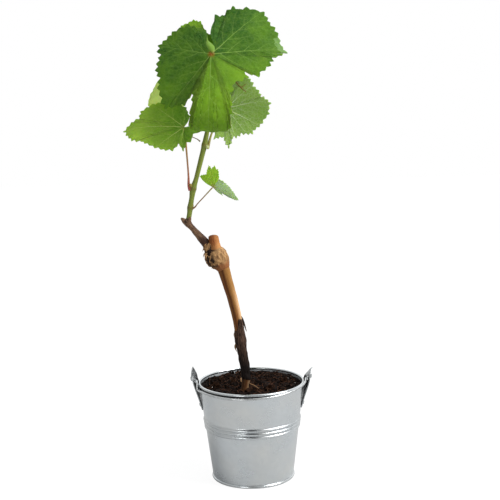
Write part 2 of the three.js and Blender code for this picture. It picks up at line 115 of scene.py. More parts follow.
SHOOT = [
    [-60.2, 2, 267, 2.7], [-58.6, 2, 274, 2.5], [-57.4, 2, 281.5, 2.8], [-55.6, 2, 291, 2.6],
    [-53.8, 2, 301, 3.2], [-50.7, 2, 310, 2.4], [-45.3, 2.4, 329, 2.5], [-41, 3, 344.5, 2.7],
    [-37.6, 4, 359, 2.2], [-33, 5, 374, 2.3], [-27, 4, 389, 1.9], [-18, 2, 403.5, 1.7], [-5.5, -3, 425, 1],
]
PETIOLES = {
    "petiole_main": [[-32.8, 0.8, 375, 1.2], [-33, -2, 388, 1], [-32.2, -9, 410, 1],
                     [-31.2, -18.4, 431.6, 1.2]],
    "petiole_lower_left": [[-56.9, 1.4, 299.6, 1.9], [-57.9, 0, 304, 1.5], [-57.9, -1, 314, 1],
                           [-58.4, -5, 331, 0.9], [-59.6, -12.6, 360.6, 1.2]],
    "petiole_back_left": [[-35.4, 6.4, 376.8, 1.4], [-41, 11, 389, 0.9], [-52, 17, 397, 0.9],
                          [-70.6, 24.6, 391.4, 1]],
    "petiole_back_right": [[-38, 4.6, 341, 1.6], [-33.9, 9, 355, 1], [-27, 15, 368, 1],
                           [-19.2, 23, 379, 1.1]],
    "petiole_top": [[-20.4, 3.4, 405, 1.2], [-25, 5, 411, 0.8], [-31.6, 4.2, 421, 0.9]],
    "petiole_small": [[-55.4, 1.7, 280.8, 1.2], [-52.6, 0.8, 282.2, 0.8], [-50, 0, 285.4, 0.6],
                      [-42.2, -2, 293.5, 0.6], [-34, -5.8, 302.1, 0.7]],
}
TENDRILS = {
    "tendril_low": [[-45.4, 2.6, 348.2, 0.8], [-48, 1, 350.4, 0.5], [-52, -1, 352.4, 0.45],
                    [-56.8, -2, 354.6, 0.4]],
    "tendril_high": [[-14, 1, 410.5, 0.9], [-10.2, 4, 408.5, 0.8], [-3.3, 8, 400.6, 0.7],
                     [1.9, 10, 396.2, 0.5]],
    "tendril_fork": [[-6, 6.6, 403.4, 0.6], [-2.4, 8, 401, 0.6], [1.8, 10, 403.8, 0.4]],
}
SHREDS = {  # loose slips of old bark, and fibres on the soil at the foot
    "bark_strip": [[-8.2, -17, 172.4, 0.3], [-7, -18, 169, 0.9], [-5.4, -19.5, 164, 0.8],
                   [-3.6, -20.6, 157.6, 0.35]],
    "bark_peel_high": [[-14.6, -15, 158.6, 0.3], [-15.9, -16, 153.4, 0.8], [-14.9, -16.6, 148.6, 0.4]],
    "bark_peel_low": [[-13.6, -17.4, 146, 0.4], [-15.5, -18.2, 142, 0.9], [-14.2, -18.8, 136.6, 0.3]],
    "bark_peel_foot": [[-9.8, -24.4, 110.8, 0.3], [-10.4, -25, 109, 0.9], [-10, -25.6, 106.6, 0.4]],
    "foot_fibre": [[-2.4, -24, 104.8, 0.3], [2.6, -27, 103.2, 0.45], [7.6, -31, 101.2, 0.3]],
}
NOTCH_FOLD = [  # the folded lip in the main leaf's notch: [x, y, z, half width]
    [-35.5, -1, 454.4, 0.4], [-35, -5, 449.4, 0.5], [-34.5, -8.4, 446, 1.2], [-33.2, -11, 443.2, 3.4],
    [-31.6, -13.6, 440.4, 4.2], [-30.4, -16.8, 436.8, 3.3], [-29.6, -19.6, 434, 0.7],
]
BUDS = {  # where each sits, the way it points, its length
    "bud_low": [[-55.6, 0.8, 282.6], [0.5, -0.3, 0.8], 3.2],
    "bud_middle": [[-55.4, 0, 303], [-0.35, -0.45, 0.8], 4.2],
    "bud_high": [[-39.2, 1.4, 344], [0.45, -0.3, -0.85], 4.6],
}

# ---- the leaves ----
# at: where the stalk meets the blade. aim: the midrib's direction. face: the upper side's direction.
# lobes: [tip angle, tip radius, dip angle, dip radius], degrees from the midrib and mm.
# pose: [angle, lift, curl], degrees that each part of the blade rises, and turns further by its edge.
# lip: half openings of the notch at the stalk in degrees, and its radius. late: how late the curl comes.
# middle: the angle opposite the notch. open: how much wider the notch opens near the stalk, in degrees.
# young: [angle, by the stalk, three quarters out, by the edge], how far the skin goes from deep to bright
# green: partly a new leaf's yellower tone, partly painted light and shade.
# turned: angles between which, and share of the way out from which, the blade shows its underside in front.
# rows: rows of points from the stalk to the edge.
# veins: [angle, strength] of the main veins. tooth: spacing and depth of the teeth in mm.
LEAVES = {
    "leaf_main": {
        "at": [-31, -20, 433], "aim": [-0.05, -0.45, -0.88], "face": [0.05, -0.88, 0.45],
        "size": 98, "late": 3.5, "middle": 11, "open": 14, "lip": [0, 8, 20],
        "lobes": [
            [-168, 31, -160, 36], [-147, 47, -136, 50], [-128, 52, -120, 54], [-108, 58, -94, 53],
            [-78, 57, -68, 57], [-59, 61, -50, 65], [-40, 69, -32, 60], [-24, 58, -22, 37],
            [-17.5, 52, -15, 60],
            [-13, 84, -8, 92], [0, 106, 8, 92], [15, 87, 18, 68], [20, 64, 24, 48], [36, 38, 45, 39],
            [58, 43, 63, 37], [66, 51, 73, 52], [83, 58, 91, 60], [98, 75, 105, 72], [116, 72, 126, 72],
            [138, 76, 144, 72], [151, 69, 156, 65], [162, 66, 168, 53], [177, 52]],
        "pose": [
            [-165, -14, -5], [-113, -18, -20], [-41, -16, -30], [-14, 2, -170], [14, 3, -170],
            [30, 0, -60], [62, -2, -40], [104, -5, -35], [139, -6, -30], [175, -14, 0]],
        # On the main leaf: painted shade over the left half, away from the light, painted light on the
        # central lobe and the right shoulder, and the creases brightened against their shade.
        "young": [
            [-165, 0.05, 0.1, 0.1], [-113, 0.1, 0.25, 0.3], [-41, 0.12, 0.32, 0.45], [-26, 0.2, 0.4, 0.7],
            [-16, 0.25, 1, 0.6], [-10, 0.25, 0.9, 0.6], [16, 0.25, 1, 0.6], [22, 0.3, 1, 0.7],
            [56, 0.3, 1.2, 1.2], [63, 0.3, 1.1, 1.1], [67, 0.2, 0.5, 0.5], [84, 0.2, 0.42, 0.5],
            [104, 0.05, 0.22, 0.3], [139, 0.02, 0.16, 0.2], [175, 0, 0.05, 0.1]],
        "turned": [96.5, 112, 0.91],
        "veins": [[-108, 0.7], [-38, 1.2], [0, 0.8], [101, 1], [139, 1]],
        "tooth": [7.2, 2.9], "seed": 3, "rows": 84,
    },
    "leaf_lower_left": {
        "at": [-60, -14, 363], "aim": [-1, 0, 0.1], "face": [-0.15, -0.72, 0.68],
        "size": 62, "late": 2.2, "middle": 0, "open": 6, "lip": [10, 20, 5],
        "lobes": [
            [-108, 15, -97, 18], [-90, 25, -74, 30], [-48, 43, -40, 47], [-28, 53, -20, 51],
            [-6, 66, -3, 62], [0, 61, 5, 57], [10, 54, 15, 46], [28, 38, 38, 35], [68, 28, 76, 18],
            [86, 24, 98, 15], [115, 17, 140, 13], [166, 20]],
        "pose": [[-110, 0, -10], [-60, 6, -10], [0, 2, -25], [65, -6, -30], [95, -30, -30], [150, -5, -10]],
        "young": [[-100, 0, 0.35, 0.4], [-20, 0.05, 0.75, 0.8], [60, 0.1, 0.85, 0.95]],
        "veins": [[-88, 0.9], [-42, 1.5], [-6, 1.7], [38, 1.6], [80, 1.3]],
        "tooth": [5.8, 1.9], "seed": 5, "rows": 60,
    },
    "leaf_back_right": {
        "at": [-19, 24, 380], "aim": [0.9, 0.3, 0.05], "face": [-0.25, 0.85, 0.45],
        "size": 52, "late": 2.2, "middle": 0, "open": 6, "lip": [50, 45, 8],
        "lobes": [
            [-103, 40, -90, 44], [-75, 52, -69, 42], [-57, 40, -45, 37], [-33, 38, -24, 38],
            [-10, 46, -3, 44], [5, 45, 12, 43], [28, 40, 37, 38], [43, 39, 58, 32], [70, 33, 76, 31],
            [86, 41, 97, 29], [116, 33]],
        "pose": [[-120, 5, -5], [-60, -4, -15], [0, -5, -30], [60, -12, -20], [120, -20, -15]],
        "young": [[-60, 0.4, 0.8, 0.8], [40, 0, 0.4, 0.5]],
        "veins": [[-90, 1], [-48, 1.4], [-14, 1.4], [27, 1.7], [50, 1.2], [72, 1.7]],
        "tooth": [5.2, 2.1], "seed": 7, "rows": 56,
    },
    "leaf_back_left": {
        "at": [-72, 26, 392], "aim": [-0.6, 0.65, -0.3], "face": [-0.35, 0.75, 0.55],
        "size": 44, "late": 2.2, "middle": 0, "open": 6, "lip": [45, 45, 6],
        "lobes": [
            [-105, 13, -80, 14], [-50, 24, -25, 27], [0, 38, 25, 27], [50, 27, 58, 29], [72, 29, 95, 31],
            [122, 39]],
        "pose": [[-110, -12, -15], [-60, -8, -20], [0, -5, -30], [60, -8, -20], [110, -12, -15]],
        "young": [[0, 0.4, 0.7, 0.7]],
        "veins": [[-105, 0.8], [-50, 1], [0, 1], [50, 1], [105, 0.8]],
        "tooth": [7, 0.7], "seed": 11, "rows": 48,
    },
    "leaf_top": {
        "at": [-32, 4, 422], "aim": [-0.35, 0.1, 0.9], "face": [0, -0.92, 0.3],
        "size": 55, "late": 2.2, "middle": 0, "open": 6, "lip": [45, 45, 6],
        "lobes": [
            [-110, 26, -90, 24], [-66, 31, -50, 29], [-32, 34, -22, 34], [-14, 36, -12, 38],
            [-10, 50, -7, 51], [-3, 54, 3, 53], [12, 54, 20, 46], [36, 41, 46, 34], [66, 32, 84, 24],
            [108, 26]],
        "pose": [[-110, -6, -10], [0, -2, -10], [110, -6, -10]],
        "young": [[0, 0.5, 0.8, 0.8]],
        "veins": [[-105, 0.8], [-50, 1], [0, 1], [50, 1], [105, 0.8]],
        "tooth": [4.6, 1.2], "seed": 13, "rows": 50,
    },
    "leaf_small": {
        "at": [-33.7, -6, 302.4], "aim": [0.6, 0.1, 0.6], "face": [-0.45, -0.8, 0.4],
        "size": 28, "late": 1.6, "middle": 0, "open": 4, "lip": [6, 6, 3],
        "lobes": [
            [-92, 13, -79, 10.5], [-78, 26, -77, 28], [-73, 30, -64, 24], [-50, 19, -36, 16],
            [-10, 12, 6, 10], [32, 20, 38, 20], [46, 25, 54, 22], [61, 28, 74, 19], [92, 25]],
        "pose": [[-90, -35, -30], [-30, -30, -30], [10, -5, -10], [90, -5, -15]],
        "young": [[0, 0.4, 0.8, 0.8]],
        "turned": [-100, 4, 0],
        "veins": [[-78, 0.8], [32, 0.8], [58, 0.9], [84, 0.7]],
        "tooth": [3.0, 0.7], "seed": 17, "rows": 36,
    },
}
BLADE = 0.35  # thickness of a leaf
FULL_SIZE = 98  # the main leaf's size, for which the veins' and ripples' sizes are given
QUILT = 0.95  # how far the blade puffs up between its veins
RUFFLE = 1.7  # how far its edge waves, over 21 mm
CRISP = 0.5  # how far the very edge waves, over 6 mm


# ---- small helpers ----
def linear(code):
    """A linear colour from an sRGB hex value."""
    parts = [int(code[i:i + 2], 16) / 255 for i in (1, 3, 5)]
    return [c / 12.92 if c <= 0.04045 else ((c + 0.055) / 1.055) ** 2.4 for c in parts] + [1.0]


def unit(rows):
    """Each row as a vector of length 1."""
    rows = np.asarray(rows, float)
    return rows / np.maximum(np.linalg.norm(rows, axis=-1, keepdims=True), 1e-12)


def wander(points, size, seed=0.0):
    """Smooth noise from -1 to 1 at each point, size mm from crest to crest."""
    shift = Vector((seed * 7.13, seed * 3.71, seed * 5.37))
    return np.array([noise.noise(Vector(p) / size + shift) for p in points])


def step(low, high, value):
    """A smooth rise from 0 at low to 1 at high."""
    share = np.clip((value - low) / (high - low), 0, 1)
    return share * share * (3 - 2 * share)


def bell(value, middle, width):
    """1 at the middle, fading away on both sides over the width."""
    return np.exp(-((value - middle) / width) ** 2)


def facing(angle, way):
    """1 where a limb faces the way, which is 0 for its right and pi for its left, down to 0 behind."""
    return (1 + np.cos(angle - way)) / 2


def round_steps(count):
    """Angles at equal steps once round."""
    return np.arange(count) * 2 * math.pi / count


def add_node(tree, kind, inputs=None, **settings):
    """A node with its settings. Each input is a value, a hex colour, a socket, or a node whose first live
    output it takes."""
    node = tree.nodes.new(kind)
    for name, value in settings.items():
        setattr(node, name, value)
    for key, value in (inputs or {}).items():
        if isinstance(value, bpy.types.Node):
            value = next(socket for socket in value.outputs if socket.enabled)
        if isinstance(value, bpy.types.NodeSocket):
            tree.links.new(value, node.inputs[key])
        else:
            is_colour = isinstance(value, str) and value.startswith("#")
            node.inputs[key].default_value = linear(value) if is_colour else value
    return node


def show(piece, body=BODY, stands_for=()):
    """Has a piece ride on its body, in place of the frame's nodes that it stands for."""
    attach(piece, body)
    if stands_for:
        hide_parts(*stands_for)
    return piece


def link(name, data):
    """A new object of the scene."""
    piece = bpy.data.objects.new(name, data)
    bpy.context.scene.collection.objects.link(piece)
    return piece


def plain_mesh(name, points, faces, edges=()):
    """A mesh from points in mm."""
    mesh = bpy.data.meshes.new(name)
    mesh.from_pydata((np.asarray(points) * MM).tolist(), edges, faces)
    return mesh


def build(name, points, faces, materials, picks=None, uv=None, values=None):
    """A smooth mesh object from points in mm. picks: which material each face has. values: named numbers
    or vectors for each point."""
    mesh = plain_mesh(name, points, faces)
    for material in materials:
        mesh.materials.append(material)
    mesh.polygons.foreach_set("use_smooth", [True] * len(mesh.polygons))
    if picks is not None:
        mesh.polygons.foreach_set("material_index", picks)
    for key, numbers in (values or {}).items():
        numbers = np.asarray(numbers, np.float32)
        kind, field = ("FLOAT_VECTOR", "vector") if numbers.ndim == 2 else ("FLOAT", "value")
        mesh.attributes.new(key, kind, "POINT").data.foreach_set(field, numbers.ravel())
    if uv is not None:
        corners = np.zeros(len(mesh.loops), int)
        mesh.loops.foreach_get("vertex_index", corners)
        mesh.uv_layers.new(name="OFBake").data.foreach_set("uv", np.asarray(uv)[corners].ravel())
    mesh.validate()
    return link(name, mesh)


def quads(rows, turns, start=0, closed=True, over=False):
    """Faces between neighbouring rows of points. Each row is a ring if closed, and over turns them over."""
    a = start + np.arange((rows - 1) * turns).reshape(rows - 1, turns)
    b = np.roll(a, -1, axis=1)
    if not closed:
        a, b = a[:, :-1], b[:, :-1]
    corners = [a, a + turns, b + turns, b] if over else [a, b, b + turns, a + turns]
    return np.stack(corners, axis=-1).reshape(-1, 4).tolist()


def capped(rings, turns, over=False):
    """Faces of a closed body: quads between its rings, and a fan at each end round one more point."""
    last = (rings - 1) * turns
    low = last + turns
    fans = [(low, (i + 1) % turns, i) for i in range(turns)]
    fans += [(low + 1, last + i, last + (i + 1) % turns) for i in range(turns)]
    return quads(rings, turns, over=over) + [fan[::-1] if over else fan for fan in fans]


# ---- geometry nodes ----
def geometry_tree(name, **kinds):
    """A tree that takes in a base and named inputs, listed by their kind, and its input sockets."""
    tree = bpy.data.node_groups.new(name, "GeometryNodeTree")
    for kind, labels in {"Geometry": ["Geometry"], **kinds, "Material": ["Material"]}.items():
        for label in labels:
            tree.interface.new_socket(label, in_out="INPUT", socket_type="NodeSocket" + kind)
    tree.interface.new_socket("Geometry", in_out="OUTPUT", socket_type="NodeSocketGeometry")
    return tree, add_node(tree, "NodeGroupInput").outputs


def end_tree(tree, shape, material):
    """Realises what the tree made, gives it its material and sends it out."""
    real = add_node(tree, "GeometryNodeRealizeInstances", {0: shape})
    painted = add_node(tree, "GeometryNodeSetMaterial", {"Geometry": real, "Material": material})
    add_node(tree, "NodeGroupOutput", {0: painted})
    return tree


def grow(name, tree, base, values):
    """The plain mesh object that the tree makes from the base mesh."""
    piece = link(name, base)
    modifier = piece.modifiers.new("grow", "NODES")
    modifier.node_group = tree
    for item in tree.interface.items_tree:
        if item.in_out == "INPUT" and item.name in values:
            modifier[item.identifier] = values[item.name]
    graph = bpy.context.evaluated_depsgraph_get()
    mesh = bpy.data.meshes.new_from_object(
        piece.evaluated_get(graph), preserve_all_data_layers=True, depsgraph=graph)
    piece.modifiers.clear()
    piece.data = mesh
    mesh.name = name
    return piece


def rod_tree():
    """Sweeps a round section along each edge path, as thick as the path's own attribute says."""
    tree, given = geometry_tree("round_rod", Int=["Sides"])
    line = add_node(tree, "GeometryNodeMeshToCurve", {0: given["Geometry"]})
    ring = add_node(tree, "GeometryNodeCurvePrimitiveCircle", {"Resolution": given["Sides"], "Radius": 1.0})
    girth = add_node(tree, "GeometryNodeInputNamedAttribute", {"Name": "girth"}, data_type="FLOAT")
    swept = add_node(tree, "GeometryNodeCurveToMesh", {
        "Curve": line, "Profile Curve": ring, "Scale": girth, "Fill Caps": True})
    soft = add_node(tree, "GeometryNodeSetShadeSmooth", {0: swept})
    return end_tree(tree, soft, given["Material"])


ROD = rod_tree()


def smooth(stations, steps):
    """Rows at equal steps along a smooth curve through the stations."""
    points = np.array(stations, float)
    points = np.vstack([2 * points[0] - points[1], points, 2 * points[-1] - points[-2]])
    gaps = np.linalg.norm(np.diff(points[:, :3], axis=0), axis=1)
    knots = np.concatenate([[0], np.cumsum(np.sqrt(gaps))])
    place = np.linspace(0, len(stations) - 1, steps + 1)
    first = np.clip(place.astype(int), 0, len(stations) - 2)
    at = knots[first + 1] + (place - first) * (knots[first + 2] - knots[first + 1])

    def mix(a, b, start, end):
        share = ((at - start) / (end - start))[:, None]
        return a * (1 - share) + b * share

    p = [points[first + k] for k in range(4)]
    s = [knots[first + k] for k in range(4)]
    a = [mix(p[k], p[k + 1], s[k], s[k + 1]) for k in range(3)]
    b = [mix(a[k], a[k + 1], s[k], s[k + 2]) for k in range(2)]
    return mix(b[0], b[1], s[1], s[2])


def rods(name, paths, material, sides=12):
    """Rods through rows of [x, y, z, radius], joined in one piece."""
    rows = np.vstack(paths)
    ends = np.cumsum([len(path) for path in paths])
    edges = [(i, i + 1) for i in range(len(rows) - 1) if i + 1 not in ends]
    mesh = plain_mesh(name, rows[:, :3], [], edges)
    mesh.attributes.new("girth", "FLOAT", "POINT").data.foreach_set("value", rows[:, 3] * MM)
    return grow(name, ROD, mesh, {"Sides": sides, "Material": material})


# ---- limbs with relief ----
# What is known of each point of a limb's skin: its place if the limb were straight, the angle round the
# limb, the length from the limb's foot, and its height over the ground.
Spots = namedtuple("Spots", "straight angle far height")


def limb(name, stations, relief, material, values, steps, sides, round_end=0.0):
    """A limb through the stations, rounded over the last round_end mm. relief says how far its skin stands
    out, and values are named rules for what its material reads, all worked out from its Spots."""
    path = smooth(stations, steps)
    centres = path[:, :3]
    along = unit(np.gradient(centres, axis=0))
    across = np.zeros_like(along)
    held = np.array([1.0, 0, 0])
    for k, direction in enumerate(along):
        held = unit(held - direction * (held @ direction))
        across[k] = held
    length = np.concatenate([[0], np.cumsum(np.linalg.norm(np.diff(centres, axis=0), axis=1))])
    angle = np.tile(round_steps(sides), steps + 1)
    far = np.repeat(length, sides)
    radius = np.repeat(path[:, 3], sides)
    straight = np.stack([radius * np.cos(angle), radius * np.sin(angle), far], axis=1)
    spots = Spots(straight, angle, far, np.repeat(path[:, 2], sides))
    if round_end:
        left = np.clip((length[-1] - far) / round_end, 0, 1)
        radius = radius * np.sqrt(np.clip(1 - (1 - left) ** 2, 0, 1) * 0.96 + 0.04)
    out = (np.repeat(across, sides, axis=0) * np.cos(angle)[:, None]
           + np.repeat(np.cross(along, across), sides, axis=0) * np.sin(angle)[:, None])
    points = np.repeat(centres, sides, axis=0) + out * (radius + relief(spots))[:, None]
    points = np.vstack([points, points[:sides].mean(0), points[-sides:].mean(0)])
    numbers = {"straight": np.vstack([straight, [0, 0, 0], [0, 0, length[-1]]]) * MM}
    for key, rule in values.items():
        found = rule(spots)
        numbers[key] = np.concatenate([found, [found[0], found[-1]]])
    return build(name, points, capped(steps + 1, sides), [material], values=numbers)


# ---- materials ----
def blank(name):
    """A material and its empty tree."""
    material = bpy.data.materials.new(name)
    material.use_nodes = True
    material.node_tree.nodes.clear()
    return material, material.node_tree


def surface(tree, inputs):
    """Ends a material's tree in one Principled surface."""
    shader = add_node(tree, "ShaderNodeBsdfPrincipled", inputs)
    add_node(tree, "ShaderNodeOutputMaterial", {"Surface": shader})


def galvanised_sheet(name, rough, painted_shade_depth=0.95, painted_shade_span=(96.5, 99.2), overall_darkening=0.0):
    """Hot-dipped zinc sheet: bright, with a faint patchwork of crystals and a cloudy, bluish bloom. A band
    of black painted shade lies between two heights, a little lower on the left, away from the light, and a
    set share darkens the whole evenly."""
    material, tree = blank(name)
    place = add_node(tree, "ShaderNodeTexCoord").outputs["Object"]
    crystals = add_node(tree, "ShaderNodeTexVoronoi", {
        "Vector": place, "Scale": 1 / (5 * MM), "Randomness": 1.0})
    bloom, tint, scratches = [
        add_node(tree, "ShaderNodeTexNoise", {
            "Vector": place, "Scale": 1 / (size * MM), "Detail": detail, "Roughness": fall,
            "Distortion": swirl})
        for size, detail, fall, swirl in ((26, 3.0, 0.55, 0.0), (40, 1.0, 0.5, 0.6), (1.2, 4.0, 0.7, 0.0))]
    tinted = add_node(tree, "ShaderNodeMix", {0: tint, 6: "#d6dfe6", 7: "#e2dfd6"}, data_type="RGBA")
    clouded = add_node(tree, "ShaderNodeMix", {0: bloom, 6: "#c8ced2", 7: tinted}, data_type="RGBA")
    grain = add_node(tree, "ShaderNodeMapRange", {
        "Value": crystals.outputs["Color"], "To Min": 0.0, "To Max": 0.16})
    spangled = add_node(tree, "ShaderNodeMix", {0: grain, 6: clouded, 7: "#b4babd"}, data_type="RGBA")
    parts = add_node(tree, "ShaderNodeSeparateXYZ", {0: place}).outputs
    # Painted shade: a black band between two heights, under the rolled rim, set a little lower on the left,
    # where less light falls.
    slanted = add_node(tree, "ShaderNodeMath", {
        0: parts["X"], 1: -0.03, 2: parts["Z"]}, operation="MULTIPLY_ADD")
    low, high = painted_shade_span
    groove = add_node(tree, "ShaderNodeMapRange", {
        "Value": slanted, "From Min": low * MM, "From Max": (low + 0.7) * MM, "To Max": painted_shade_depth})
    below_top = add_node(tree, "ShaderNodeMath", {0: parts["Z"], 1: high * MM}, operation="LESS_THAN")
    painted_shade = add_node(tree, "ShaderNodeMath", {0: groove, 1: below_top}, operation="MULTIPLY")
    darkened = add_node(tree, "ShaderNodeMath", {0: painted_shade, 1: overall_darkening}, operation="MAXIMUM")
    coloured = add_node(tree, "ShaderNodeMix", {0: darkened, 6: spangled, 7: "#141414"}, data_type="RGBA")
    dull = add_node(tree, "ShaderNodeMapRange", {
        "Value": bloom, "From Min": 0.3, "From Max": 0.7, "To Min": rough, "To Max": rough + 0.12})
    ripple = add_node(tree, "ShaderNodeBump", {"Strength": 0.12, "Distance": 0.4 * MM, "Height": bloom})
    fine = add_node(tree, "ShaderNodeBump", {
        "Strength": 0.05, "Distance": 0.1 * MM, "Height": scratches, "Normal": ripple})
    surface(tree, {"Metallic": 1.0, "Base Color": coloured, "Roughness": dull, "Normal": fine})
    return material


def drawn_wire():
    """Zinc-coated drawn steel wire: smoother than the sheet, with patches of more and less shine."""
    material, tree = blank("zinc-coated wire")
    place = add_node(tree, "ShaderNodeTexCoord").outputs["Object"]
    cloud = add_node(tree, "ShaderNodeTexNoise", {"Vector": place, "Scale": 1 / (6 * MM), "Detail": 3.0})
    colour = add_node(tree, "ShaderNodeMix", {0: cloud, 6: "#b4b8ba", 7: "#dadcdc"}, data_type="RGBA")
    dull = add_node(tree, "ShaderNodeMapRange", {"Value": cloud, "To Min": 0.18, "To Max": 0.34})
    surface(tree, {"Metallic": 1.0, "Base Color": colour, "Roughness": dull})
    return material


def peat(name, dark, pale, clump):
    """Damp peat: matt, nearly black in its hollows, with brown fibre showing through. Clump is in mm."""
    material, tree = blank(name)
    place = add_node(tree, "ShaderNodeTexCoord").outputs["Object"]
    clumps = add_node(tree, "ShaderNodeTexNoise", {
        "Vector": place, "Scale": 1 / (clump * MM), "Detail": 5.0, "Roughness": 0.7})
    share = add_node(tree, "ShaderNodeMapRange", {"Value": clumps, "From Min": 0.35, "From Max": 0.7})
    colour = add_node(tree, "ShaderNodeMix", {0: share, 6: dark, 7: pale}, data_type="RGBA")
    bump = add_node(tree, "ShaderNodeBump", {"Strength": 0.8, "Distance": 0.5 * MM, "Height": clumps})
    surface(tree, {"Base Color": colour, "Normal": bump, "Roughness": 0.95, "Specular IOR Level": 0.1})
    return material


def perlite():
    """Expanded white grit: chalky, with greyer pits."""
    material, tree = blank("perlite grit")
    place = add_node(tree, "ShaderNodeTexCoord").outputs["Object"]
    pits = add_node(tree, "ShaderNodeTexNoise", {"Vector": place, "Scale": 1 / (0.8 * MM), "Detail": 3.0})
    colour = add_node(tree, "ShaderNodeMix", {0: pits, 6: "#9b938a", 7: "#e9e4dc"}, data_type="RGBA")
    surface(tree, {"Base Color": colour, "Roughness": 0.9})
    return material


def streaks(tree, *sizes):
    """Noises drawn out along a limb, each of a length and width in mm, a detail and a distortion."""
    straight = add_node(tree, "ShaderNodeAttribute", attribute_name="straight").outputs["Vector"]
    made = []
    for long, wide, detail, swirl in sizes:
        drawn = add_node(tree, "ShaderNodeMapping", {
            "Vector": straight, "Scale": (1 / (wide * MM), 1 / (wide * MM), 1 / (long * MM))})
        made.append(add_node(tree, "ShaderNodeTexNoise", {
            "Vector": drawn, "Scale": 1.0, "Detail": detail, "Roughness": 0.6, "Distortion": swirl}))
    return made


def vine_wood():
    """One-year cane, tan and satin with reddish streaks, under old bark that is dark, dry and stringy. One
    attribute says where the bark lies, one where painted shade darkens the cane's left side, and one where
    the cane is creamier and carries a painted highlight on its right; the lowest part is dark with damp."""
    material, tree = blank("cane and old bark")
    bark, shade, cream_and_highlight = [add_node(tree, "ShaderNodeAttribute", attribute_name=key).outputs["Fac"]
                          for key in ("bark", "shade", "cream_and_highlight")]
    fine, broad, strings = streaks(tree, (14, 0.7, 4.0, 0.0), (40, 3.2, 2.0, 0.4), (9, 0.5, 5.0, 0.0))
    red = add_node(tree, "ShaderNodeMapRange", {
        "Value": broad, "From Min": 0.5, "From Max": 0.6, "To Max": 0.65})
    old_share = add_node(tree, "ShaderNodeMapRange", {"Value": strings, "From Min": 0.42, "From Max": 0.62})
    old = add_node(tree, "ShaderNodeMix", {0: old_share, 6: "#100906", 7: "#60483a"}, data_type="RGBA")
    place = add_node(tree, "ShaderNodeTexCoord").outputs["Object"]
    height = add_node(tree, "ShaderNodeSeparateXYZ", {0: place}).outputs["Z"]
    low = add_node(tree, "ShaderNodeMapRange", {
        "Value": height, "From Min": 150 * MM, "From Max": 122 * MM, "To Min": 0.0, "To Max": 0.95})
    soaks = add_node(tree, "ShaderNodeMapRange", {"Value": bark, "To Min": 0.7, "To Max": 1.0})
    damp = add_node(tree, "ShaderNodeMath", {0: low, 1: soaks}, operation="MULTIPLY")
    colour = add_node(tree, "ShaderNodeMix", {0: fine, 6: "#70441a", 7: "#bc8c4e"}, data_type="RGBA")
    # Over the cane's own colour and red streaks: a creamier tone with a painted highlight on the right,
    # painted shade on the left, the bark, and the damp.
    layers = ((red, "#843c18"), (cream_and_highlight, "#dcb488"), (shade, "#4a220c"), (bark, old), (damp, "#0a0504"))
    for share, over in layers:
        colour = add_node(tree, "ShaderNodeMix", {0: share, 6: colour, 7: over}, data_type="RGBA")
    rough = add_node(tree, "ShaderNodeMapRange", {"Value": bark, "To Min": 0.5, "To Max": 0.62})
    bump = add_node(tree, "ShaderNodeBump", {"Strength": 0.6, "Distance": 0.35 * MM, "Height": strings})
    surface(tree, {"Base Color": colour, "Roughness": rough, "Normal": bump, "Specular IOR Level": 0.1})
    return material


def corky_wood(name, dark, pale, hollow, blush):
    """Callus and old wood: pale ridges over dark cracks. The dark colour comes from the attribute crack,
    which on the cut stub and in the union's hollow is painted shade, and the attribute blush has it take on
    the colour of the wood beside it, which on the cut stub's right is a painted highlight."""
    material, tree = blank(name)
    crack, beside = [add_node(tree, "ShaderNodeAttribute", attribute_name=key).outputs["Fac"]
                     for key in ("crack", "blush")]
    grain, = streaks(tree, (5, 1.1, 5.0, 0.0))
    share = add_node(tree, "ShaderNodeMapRange", {"Value": grain, "From Min": 0.3, "From Max": 0.7})
    colour = add_node(tree, "ShaderNodeMix", {0: share, 6: dark, 7: pale}, data_type="RGBA")
    for share, over in ((beside, blush), (crack, hollow)):
        colour = add_node(tree, "ShaderNodeMix", {0: share, 6: colour, 7: over}, data_type="RGBA")
    bump = add_node(tree, "ShaderNodeBump", {"Strength": 0.7, "Distance": 0.4 * MM, "Height": grain})
    surface(tree, {"Base Color": colour, "Normal": bump, "Roughness": 0.78, "Specular IOR Level": 0.3})
    return material


def green_bark():
    """The skin of this year's shoot: olive green and satin, finely ribbed, browner at its joints."""
    material, tree = blank("green shoot skin")
    joint = add_node(tree, "ShaderNodeAttribute", attribute_name="joint").outputs["Fac"]
    ribs, = streaks(tree, (30, 0.9, 3.0, 0.0))
    skin = add_node(tree, "ShaderNodeMix", {0: ribs, 6: "#586422", 7: "#88963e"}, data_type="RGBA")
    browned = add_node(tree, "ShaderNodeMix", {0: joint, 6: skin, 7: "#6b5a2e"}, data_type="RGBA")
    bump = add_node(tree, "ShaderNodeBump", {"Strength": 0.35, "Distance": 0.3 * MM, "Height": ribs})
    surface(tree, {"Base Color": browned, "Normal": bump, "Roughness": 0.46, "Specular IOR Level": 0.25})
    return material


